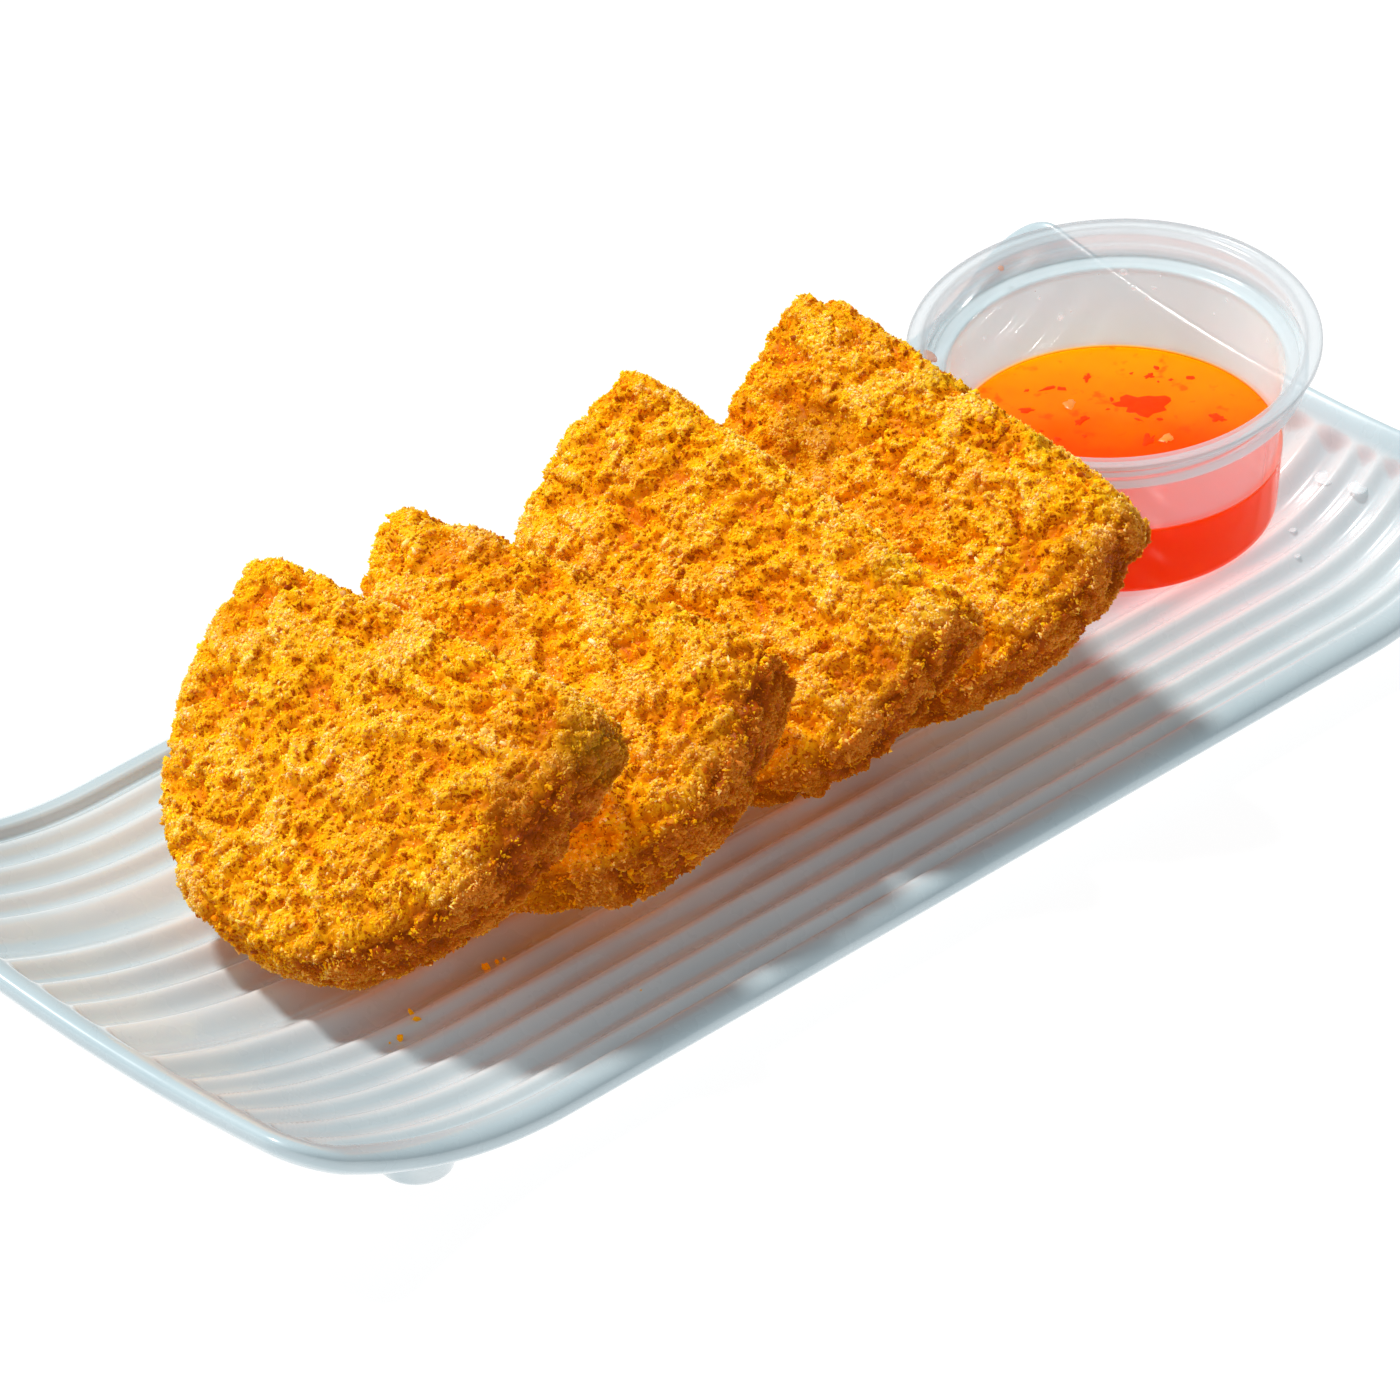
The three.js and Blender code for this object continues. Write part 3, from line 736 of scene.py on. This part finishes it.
def crumbs(points, normals, sizes, seed, flatness=0.6, fine=False):
    """A jagged grain at each point, about half sunk: a tetrahedron (fine) or an icosahedron with its
    corners moved at random, its flat way roughly along the normal."""
    draw = np.random.default_rng(seed)
    g = (1 + 5 ** 0.5) / 2
    corners = np.array([(-1, g, 0), (1, g, 0), (-1, -g, 0), (1, -g, 0), (0, -1, g), (0, 1, g),
                        (0, -1, -g), (0, 1, -g), (g, 0, -1), (g, 0, 1), (-g, 0, -1), (-g, 0, 1)]) / 1.9
    cells = np.array([(0, 11, 5), (0, 5, 1), (0, 1, 7), (0, 7, 10), (0, 10, 11), (1, 5, 9), (5, 11, 4),
                      (11, 10, 2), (10, 7, 6), (7, 1, 8), (3, 9, 4), (3, 4, 2), (3, 2, 6), (3, 6, 8),
                      (3, 8, 9), (4, 9, 5), (2, 4, 11), (6, 2, 10), (8, 6, 7), (9, 8, 1)])
    if fine:
        corners = np.array([(1, 1, 1), (1, -1, -1), (-1, 1, -1), (-1, -1, 1)]) * 0.75
        cells = np.array([(0, 1, 2), (0, 3, 1), (0, 2, 3), (1, 3, 2)])
    n, m = len(points), len(corners)
    shape = corners + draw.uniform(-CRUMB_JAGS, CRUMB_JAGS, (n, m, 3))
    spans = np.stack([draw.uniform(least, most, n) for least, most in CRUMB_SPANS], 1) * (1, 1, flatness)
    shape = shape * spans[:, None, :]
    axis = unit(normals + draw.normal(scale=CRUMB_TILT, size=(n, 3)))
    first = unit(np.cross(axis, draw.normal(size=(n, 3))))
    frames = np.stack([first, np.cross(axis, first), axis], 1)
    placed = np.einsum("nij,njk->nik", shape, frames) * sizes[:, None, None]
    placed += (points + normals * sizes[:, None] * CRUMB_OUT)[:, None, :]
    faces = cells[None] + m * np.arange(n)[:, None, None]
    return placed.reshape(-1, 3), [faces.reshape(-1, 3)]


def scatter(points, faces, weight, count, seed):
    """Places spread over a surface by area times the corners' weight: each is u and v of the way along two
    sides of its triangle. With them come the triangles' normals."""
    draw = np.random.default_rng(seed)
    tris, a, b, c = triangles(points, faces)
    area = np.cross(b - a, c - a)
    size = np.linalg.norm(area, axis=1)
    share = size * weight[tris].mean(1)
    pick = draw.choice(len(tris), count, p=share / share.sum())
    u, v = draw.uniform(size=(2, count, 1))
    flip = u + v > 1
    u, v = np.where(flip, 1 - u, u), np.where(flip, 1 - v, v)
    at = a[pick] + u * (b - a)[pick] + v * (c - a)[pick]
    return at, area[pick] / size[pick, None]


def make_croquette(index, finish, crumb_finish):
    """The core in its solid's place, with the relief along its normals, and its coat of crumbs, thicker on
    the clumps than between. Returns the larger flakes' points, cells and marks."""
    slice_ = SLICES[index]
    cube, faces = box_sheets(CORE_GRID)
    local = slice_form(slice_, cube)
    faces = facing_out(local, faces)
    relief = crust_relief(local, DRAW_CRUST * (index + 1))
    normals = point_normals(local, faces)
    local = local + normals * (relief - CRUMB_COAT)[:, None]
    axes = slice_axes(slice_)
    placed = local @ axes
    low = box_mm(f"croquette_{index + 1}")[0][2] + CRUMB_COAT
    shift = np.array([slice_["x"], slice_["y"], low - placed[:, 2].min()])
    marks = crust_marks(local, relief, normals, index, 0.0)
    weight = 0.5 + 0.75 * np.clip(0.75 + 0.9 * relief, 0, 1)
    new_piece(f"croquette_core_{index + 1}", placed + shift, faces, finish, "crust",
              [f"croquette_{index + 1}"], marks)
    draw = np.random.default_rng(DRAW_SIZES + index)
    for fine, (count, low_size, high_size, flatness) in ((True, FINE_CRUMBS), (False, FLAKES)):
        at, normal = scatter(local, faces, weight, count, DRAW_PLACES + index + 10 * (not fine))
        height = crust_relief(at, DRAW_CRUST * (index + 1))
        sizes = low_size + (high_size - low_size) * draw.uniform(size=count) ** SMALL_ONES
        points, cells = crumbs(at, normal, sizes, DRAW_GRAINS + index, flatness, fine)
        corners = len(points) // count
        spread = np.repeat(draw.normal(scale=TONE_SPREAD, size=count), corners)
        marks = crust_marks(points, np.repeat(height, corners), np.repeat(normal, corners, axis=0), index,
                            spread)
        points = points @ axes + shift
        if fine:
            new_piece(f"croquette_crumbs_{index + 1}", points, cells, crumb_finish, "crust", (), marks)
    return points, cells, marks


def make_croquettes():
    """The four slices, and the larger flakes of all of them as one piece."""
    finish = crust_finish("fried_crust", CORE_SHADE_TO_HIGHLIGHT, CORE_GLOW_STRENGTH)
    crumb_finish = crust_finish("fried_crumbs", CRUMB_SHADE_TO_HIGHLIGHT, CRUMB_GLOW_STRENGTH)
    heaps = [make_croquette(i, finish, crumb_finish) for i in range(len(SLICES))]
    starts = np.cumsum([0] + [len(points) for points, _, _ in heaps])
    points = np.concatenate([points for points, _, _ in heaps])
    cells = np.concatenate([cells[0] + start for (_, cells, _), start in zip(heaps, starts)])
    marks = {key: np.concatenate([marks[key] for _, _, marks in heaps]) for key in heaps[0][2]}
    new_piece("crumb_flakes", points, [cells], crumb_finish, "crust", (), marks, True)


# ---- Sauce cup ----

def divided(path, step):
    """A path with points added so that none of its straight runs is longer than the step."""
    spans = np.linalg.norm(np.diff(path, axis=0), axis=1)
    rows = [a + (b - a) * np.linspace(0, 1, max(1, math.ceil(span / step)), endpoint=False)[:, None]
            for a, b, span in zip(path, path[1:], spans)]
    return np.concatenate([*rows, path[-1:]])


def cup_radius(z):
    """The wall's outer radius at a height: base radius + taper * z."""
    return CUP_BASE_RADIUS + CUP_TAPER * z


def cup_path():
    """The wall in profile: up the outside, over the rim and down the inside, with thin moulded rings."""
    rim_under = CUP_HEIGHT - RIM_THICK
    inside = COLLAR_RADIUS - CUP_WALL
    body = cup_radius(CUP_STEP_Z)
    return softened([
        (0, CUP_RECESS), (CUP_BASE_RADIUS - 5, CUP_RECESS), (CUP_BASE_RADIUS - 4, 0),
        (CUP_BASE_RADIUS - CUP_BASE_SOFT, 0), (CUP_BASE_RADIUS, CUP_BASE_SOFT),
        (body, CUP_STEP_Z), (RING_RADIUS, CUP_STEP_Z + 0.45), (RING_RADIUS, RING_TOP_Z),
        (COLLAR_RADIUS, RING_TOP_Z + 0.45), (COLLAR_RADIUS, rim_under), (RIM_RADIUS, rim_under + 0.1),
        (RIM_RADIUS, CUP_HEIGHT - 0.1), (COLLAR_RADIUS + 0.5, CUP_HEIGHT),
        (inside + 0.35, CUP_HEIGHT - 0.9), (inside + 0.3, CUP_HEIGHT - 2.7),
        (inside - 0.15, CUP_HEIGHT - 3.1), (inside - 0.1, 31.4), (body - CUP_WALL, 30.8),
        (cup_radius(CUP_BASE_SOFT) - CUP_WALL, CUP_FLOOR + CUP_BASE_SOFT),
        (CUP_BASE_RADIUS - CUP_BASE_SOFT - CUP_WALL, CUP_FLOOR), (0, CUP_FLOOR)], 0.35, 3)


def cup_stand():
    """Cosine and sine of the cup's lean, and the height of its own frame's origin, which puts its lowest
    edge where the solid has it."""
    c, s = math.cos(CUP_LEAN), math.sin(CUP_LEAN)
    return c, s, box_mm("sauce_cup")[0][2] + (CUP_BASE_RADIUS - CUP_BASE_SOFT) * s


def cup_to_plate(points):
    """From the cup's own frame to the part's: leant towards the croquettes."""
    c, s, low = cup_stand()
    x, y, z = points.T
    return np.stack([CUP_CENTRE[0] + x * c - z * s, CUP_CENTRE[1] + y, low + x * s + z * c], -1)


def on_cup(angle, radius, z):
    """Places given round the cup's axis, in the part's frame: (radius cos angle, radius sin angle, z)."""
    return cup_to_plate(np.stack([radius * np.cos(angle), radius * np.sin(angle), z], -1))


def sauce_level():
    return box_mm("dip_sauce")[1][2]


def wall_height(angle, reach):
    """Height in the cup's own frame at which its inner wall, moved out by the reach, meets the sauce's
    level, at an angle. As the radius grows with the height, it is found in four rounds."""
    c, s, low = cup_stand()
    height = np.full_like(angle, CUP_FLOOR + SAUCE_DEPTH)
    for _ in range(4):
        radius = cup_radius(height) - CUP_WALL + reach
        height = (sauce_level() - low - radius * np.cos(angle) * s) / c
    return height


def make_sauce():
    """From the middle of the floor out, up the wall to the level at each angle, and in over the top, which
    sinks from the wall by a small meniscus, as 1 - exp(-distance / reach)."""
    sides = 180
    angle = np.linspace(0, 2 * np.pi, sides + 1)
    top = wall_height(angle, SAUCE_IN_WALL)
    floor = CUP_FLOOR - SAUCE_IN_WALL
    rows = []
    for share in np.linspace(0, 1, 8):
        rows.append(on_cup(angle, (CUP_BASE_RADIUS - CUP_BASE_SOFT - CUP_WALL) * share, floor + 0 * angle))
    for share in np.linspace(0, 1, 14):
        z = floor + CUP_BASE_SOFT + (top - floor - CUP_BASE_SOFT) * share
        rows.append(on_cup(angle, cup_radius(z) - CUP_WALL + SAUCE_IN_WALL, z))
    rim = rows[-1]
    middle = rim[:-1].mean(0)
    for share in 1 - np.linspace(0, 1, 40) ** 1.5:
        row = middle + (rim - middle) * share
        reach = np.linalg.norm(rim - middle, axis=1) * (1 - share)
        row[:, 2] = sauce_level() - MENISCUS[0] * (1 - np.exp(-reach / MENISCUS[1]))
        rows.append(row)
    points, faces = welded(np.concatenate(rows), grid_quads(len(rows), sides + 1))
    dip = new_piece("chili_dip", points, faces, sauce_finish(), "sauce", ["dip_sauce"])
    dip.visible_shadow = False


def chip(centre, size, thick, turn, seed, sides=16):
    """A thin uneven chip, domed a little on both faces: rings of radius 0 to 1 times an edge of 1 + the
    sum of 0.36 k^-0.6 (a cos k angle + b sin k angle) with random a and b, held to 0.35 to 1.7."""
    draw = np.random.default_rng(seed)
    angle = np.linspace(0, 2 * np.pi, sides + 1)
    waves = draw.uniform(-1, 1, (9, 2))
    edge = 1 + sum(0.36 / k ** 0.6 * (a * np.cos(k * angle) + b * np.sin(k * angle))
                   for k, (a, b) in enumerate(waves, 1))
    edge = np.clip(edge, 0.35, 1.7)
    rows = []
    for ring, lift in ((0, 1), (0.55, 0.9), (0.9, 0.5), (1.0, 0), (0.9, -0.5), (0.55, -0.9), (0, -1)):
        x = size[0] / 2 * ring * edge * np.cos(angle)
        y = size[1] / 2 * ring * edge * np.sin(angle)
        rows.append(np.stack([x * math.cos(turn) - y * math.sin(turn),
                              x * math.sin(turn) + y * math.cos(turn),
                              np.full_like(angle, thick / 2 * lift)], 1))
    points, faces = welded(np.concatenate(rows), grid_quads(len(rows), sides + 1))
    return points + centre, faces


# Chili in the sauce: place from the sauce's middle, length, width, turn.
CHILI = (
    (10.5, 4.5, 10.5, 7.0, -0.5), (-12.5, -4.0, 6.0, 2.4, 0.3), (-3.5, -15, 5.2, 4.0, 0.9),
    (-14, 10, 3.6, 1.6, -0.7), (3.5, -4.5, 4.0, 2.2, 0.5), (17.5, -8, 2.4, 3.4, 0.2),
    (-5.5, 17.5, 3.4, 1.5, -0.9), (2.0, 20.0, 3.0, 1.2, -0.4), (9.5, 17.5, 2.6, 1.4, 0.6),
    (18.5, 10.5, 2.0, 1.3, 0.1), (-19, 1.5, 2.8, 1.4, 0.8), (-9, -10, 2.4, 1.6, -0.2),
    (13.5, -14.5, 2.2, 1.5, 1.2), (-1.0, 8.5, 3.6, 1.8, 0.2), (6.5, -13, 1.8, 1.2, 0.4),
)
CHILI_THICK = 0.5
CHILI_SUNK = 0.55                 # middle of a flake under the sauce's level at the wall
FLECKS = 34
FLECK_SIZES = (0.6, 1.9)
FLECK_THICK = 0.4
FLECKS_WITHIN = 24                # of the sauce's middle
SEEDS = ((6.3, -6.4, 0.3), (-14, 5, 1.0), (1.5, 14, 0.6))     # place and turn
SEED_SIZE = (3.0, 2.6)
SEED_THICK = 0.7


def make_chili():
    """Red flakes and flecks of chili and a few pale seeds, at the sauce's surface."""
    middle = np.array([CUP_CENTRE[0] - 1, CUP_CENTRE[1], sauce_level() - CHILI_SUNK])
    flakes = [chip(middle + (x, y, 0), (long, wide), CHILI_THICK, turn, DRAW_CHILI + i, 24)
              for i, (x, y, long, wide, turn) in enumerate(CHILI)]
    draw = np.random.default_rng(DRAW_FLECKS)
    for i in range(FLECKS):
        radius, angle = FLECKS_WITHIN * math.sqrt(draw.uniform()), draw.uniform(0, 2 * math.pi)
        place = middle + (radius * math.cos(angle), radius * math.sin(angle), 0)
        size = draw.uniform(*FLECK_SIZES, 2)
        flakes.append(chip(place, size, FLECK_THICK, draw.uniform(0, 6), DRAW_FLECK_SHAPES + i, 10))
    # The chili glows a little: painted light.
    red = plain_finish("red_chili", CHILI_RED, 0.5, 0.3, shine=0.05, scatter=0.2, glow=0.3)
    new_piece("chili_flakes", *joined(flakes), red, "sauce").visible_shadow = False
    seeds = [chip(middle + (x, y, -0.05), SEED_SIZE, SEED_THICK, turn, DRAW_SEEDS + i)
             for i, (x, y, turn) in enumerate(SEEDS)]
    pale = plain_finish("pale_seed", SEED_PALE, 0.35, 0.15, coat=0.3, shine=0.45, scatter=0.3)
    new_piece("chili_seeds", *joined(seeds), pale, "sauce").visible_shadow = False


def bead(centre, radius, normal, high, sides=14):
    """A drop on a surface: z = high (1 - r^2)^0.6 over a round foot sunk a little into what it lies on."""
    ring = np.array([1, 0.95, 0.8, 0.55, 0.25, 0])
    path = np.stack([radius * ring, high * radius * (1 - ring ** 2) ** 0.6], 1)
    path = np.concatenate([[(0, -0.2 * radius), (0.8 * radius, -0.2 * radius)], path])
    points, faces = lathe(path, sides)
    n = unit(np.array(normal, float))
    first = unit(np.cross(n, (0.3, 0.8, 0.1)))
    return points @ np.stack([first, np.cross(n, first), n]) + centre, faces


WALL_DROPS = 42
WALL_DROP_ANGLES, WALL_DROP_HEIGHTS = (-0.7, 2.6), (19, 30)      # in the cup's own frame
WALL_DROP_SIZES = (0.25, 0.65)    # least radius, and how much more at most
WALL_DROP_DOMES = (0.35, 0.6)     # height over radius, least and most
PLATE_DROPS = ((135.0, -27.4, 2.0), (135.7, -34.8, 1.9), (124, -30, 0.8), (119, -36, 0.7))  # x, y, radius
PLATE_DROP_DOME, BLOT_DOME = 0.22, 0.3
# Thin sauce on the cup's lip: angle, distance from its middle, height in the cup's own frame, radius.
BLOTS = ((2.62, 35.4, 37.0, 1.3), (2.36, 33.2, 34.8, 1.6), (1.45, 33.4, 34.6, 0.6))


def make_drops():
    """Clear drops on the cup's inner wall and on the plate, and blots of thin sauce on the cup's lip."""
    draw = np.random.default_rng(DRAW_DROPS)
    beads = []
    for _ in range(WALL_DROPS):
        angle, z = draw.uniform(*WALL_DROP_ANGLES), draw.uniform(*WALL_DROP_HEIGHTS)
        at = on_cup(angle, cup_radius(z) - CUP_WALL, z)
        size = WALL_DROP_SIZES[0] + WALL_DROP_SIZES[1] * draw.uniform() ** 2
        inward = (-math.cos(angle), -math.sin(angle), 0)
        beads.append(bead(at, size, inward, draw.uniform(*WALL_DROP_DOMES)))
    for x, y, size in PLATE_DROPS:
        z = float(plate_surface(np.array(x), np.array(y)))
        beads.append(bead(np.array([x, y, z]), size, (-0.05, 0, 1), PLATE_DROP_DOME, 20))
    # The drops glow a little: painted light.
    clear = plain_finish("clear_drops", DROP_CLEAR, 0.05, 0.02, coat=0.6, shine=0.75, solid=0.32, glow=0.2)
    new_piece("clear_drops", *joined(beads), clear, "sauce")
    blots = []
    for angle, radius, z, size in BLOTS:
        up_and_in = (-0.6 * math.cos(angle), -0.6 * math.sin(angle), 1)
        blots.append(bead(on_cup(angle, radius, z), size, up_and_in, BLOT_DOME, 20))
    thin = plain_finish("thin_sauce", BLOT_PALE, 0.08, 0.08, coat=0.4, shine=0.55, solid=0.6)
    new_piece("sauce_blots", *joined(blots), thin, "sauce")


def make_cup():
    """The profile carried round the cup's axis. Its marks say where the plastic shows: the ring and the
    rim by height, the rim's edges as exp(-(distance / 0.4)^2), and the wall that the light is behind, as
    painted backlight."""
    step, sides = CUP_FACETS
    points, faces = lathe(divided(cup_path(), step), sides)
    height = points[:, 2]
    ring = np.clip((height - CUP_STEP_Z) / 0.3, 0, 1) * np.clip((RING_TOP_Z + 0.3 - height) / 0.3, 0, 1)
    rim = np.clip((height - CUP_HEIGHT + RIM_THICK + 0.4) / 0.3, 0, 1)
    away = np.hypot(points[:, 0], points[:, 1])[:, None]
    edges = rim * np.exp(-((away - (RIM_RADIUS, COLLAR_RADIUS + 0.5)) / 0.4) ** 2).max(1)
    points = cup_to_plate(points)
    way_x, way_y = LIGHT_WAY
    behind = way_y * (points[:, 1] - CUP_CENTRE[1]) + way_x * (points[:, 0] - CUP_CENTRE[0])
    # Painted backlight: the wall on the side the light comes from behind.
    painted_backlight = np.clip(0.5 + behind / 30, 0, 1) * np.clip((CUP_STEP_Z + 1.5 - height) / 1.5, 0, 1)
    above_floor = np.clip((height - CUP_FLOOR) / 4, 0, 1)
    milk = MILK + MILK_RING * ring + MILK_RIM * rim + MILK_EDGES * edges + MILK_PAINTED_BACKLIGHT * painted_backlight * above_floor
    marks = {"milk": milk, "painted_backlight": painted_backlight, "rim": np.maximum(edges, 0.5 * ring)}
    cup = new_piece("clear_cup", points, faces, cup_finish(), "cup_plastic", ["sauce_cup"], marks)
    cup.visible_shadow = False


# Crumbs that fell on the plate: place, size and how many lie close together.
FALLEN = ((-90.0, -27.5, 0.7, 2), (-96.1, -31.4, 0.7, 2), (-97.4, -31.4, 0.4, 1), (-69.6, -24.6, 0.7, 3),
          (-66.7, -25.0, 0.4, 2), (-55.9, -48.8, 0.35, 1))


def make_fallen(finish):
    """Loose crumbs, each a grain that lies on the plate's surface."""
    draw = np.random.default_rng(DRAW_FALLEN)
    at, sizes = [], []
    for x, y, size, count in FALLEN:
        near = draw.normal(scale=1.2 * size, size=(count, 2)) + (x, y)
        height = plate_surface(near[:, 0], near[:, 1])
        grain = size * draw.uniform(0.6, 1.3, count)
        at.append(np.column_stack([near, height + 0.3 * grain]))
        sizes.append(grain)
    at, sizes = np.concatenate(at), np.concatenate(sizes)
    points, cells = crumbs(at, np.tile((0.0, 0.0, 1.0), (len(at), 1)), sizes, DRAW_FALLEN_GRAINS)
    marks = {name: np.full(len(points), value)
             for name, value in (("tone_and_painted_light", 0.5), ("fried_and_painted_shade", 0.35), ("skin", 0.0))}
    new_piece("fallen_crumbs", points, cells, finish, "crust", (), marks, True)


# ---- Camera, floor and light ----

CAMERA_TARGET = (0.01979, 0.01610, 0.0)
CAMERA_AZIMUTH = -43.44
CAMERA_ELEVATION = 35.56
CAMERA_DISTANCE = 2.15072
CAMERA_LENS = 308.6
FLOOR_REACH = 6.0
FLOOR_GLOW = 0.93
KEY_FROM = (-0.15, 0.58, 1.0)     # from the plate towards the sun-like main light
KEY_STRENGTH = 2.85
KEY_ANGLE = math.radians(8)
KEY_COLOUR = (1.0, 0.985, 0.96)
FILL_PLACE = (-0.65, 0.10, 0.65)
FILL_SIZE = 0.7
FILL_POWER = 0.8
SKY_COLOUR = (0.93, 0.97, 1.0, 1.0)
SKY_STRENGTH = 0.35
MAX_BOUNCES = 5
MAX_SEE_THROUGH = 12              # surfaces that a ray can pass on its way through the cup


def make_camera():
    """The photo's view: straight at the target from an azimuth, an elevation and a distance."""
    azimuth, elevation = math.radians(CAMERA_AZIMUTH), math.radians(CAMERA_ELEVATION)
    level = math.cos(elevation)
    ahead = Vector((-math.sin(azimuth) * level, math.cos(azimuth) * level, -math.sin(elevation)))
    data = bpy.data.cameras.new("photo_camera")
    data.lens, data.sensor_width, data.clip_end = CAMERA_LENS, 36.0, 20.0
    camera = new_object("photo_camera", data)
    camera.location = Vector(CAMERA_TARGET) - ahead * CAMERA_DISTANCE
    camera.rotation_euler = ahead.to_track_quat("-Z", "Y").to_euler()
    bpy.context.scene.camera = camera


def make_studio():
    """White floor, a high main light from behind, a weak soft one from the left, and an even pale sky."""
    mesh = bpy.data.meshes.new("floor")
    r = FLOOR_REACH
    mesh.from_pydata([(-r, -r, 0), (r, -r, 0), (r, r, 0), (-r, r, 0)], [], [(0, 1, 2, 3)])
    floor = new_object("floor", mesh)
    f = Finish("floor_paper")
    f.set(Roughness=0.9, Emission_Color=(1, 1, 1, 1), Emission_Strength=FLOOR_GLOW)
    f.feed("Base Color", f.mix(f.mottle(60, 0.0, 1.0), *(srgb((grey,) * 3) for grey in FLOOR_GREYS)))
    mesh.materials.append(f.material)
    sun = bpy.data.lights.new("key", "SUN")
    sun.energy, sun.angle, sun.color = KEY_STRENGTH, KEY_ANGLE, KEY_COLOUR
    key = new_object("key", sun)
    key.rotation_euler = (-Vector(KEY_FROM)).to_track_quat("-Z", "Y").to_euler()
    panel = bpy.data.lights.new("fill", "AREA")
    panel.shape, panel.size, panel.energy = "DISK", FILL_SIZE, FILL_POWER
    fill = new_object("fill", panel)
    fill.location = FILL_PLACE
    fill.rotation_euler = Vector(fill.location).to_track_quat("Z", "Y").to_euler()
    world = bpy.data.worlds.new("studio")
    world.use_nodes = True
    sky = world.node_tree.nodes["Background"]
    sky.inputs["Color"].default_value = SKY_COLOUR
    sky.inputs["Strength"].default_value = SKY_STRENGTH
    scene = bpy.context.scene
    scene.world = world
    scene.view_settings.view_transform = "Standard"
    scene.cycles.max_bounces = MAX_BOUNCES
    scene.cycles.transparent_max_bounces = MAX_SEE_THROUGH


make_camera()
make_studio()
make_plate()
make_croquettes()
make_cup()
make_sauce()
make_chili()
make_drops()
make_fallen(bpy.data.materials["fried_crumbs"])
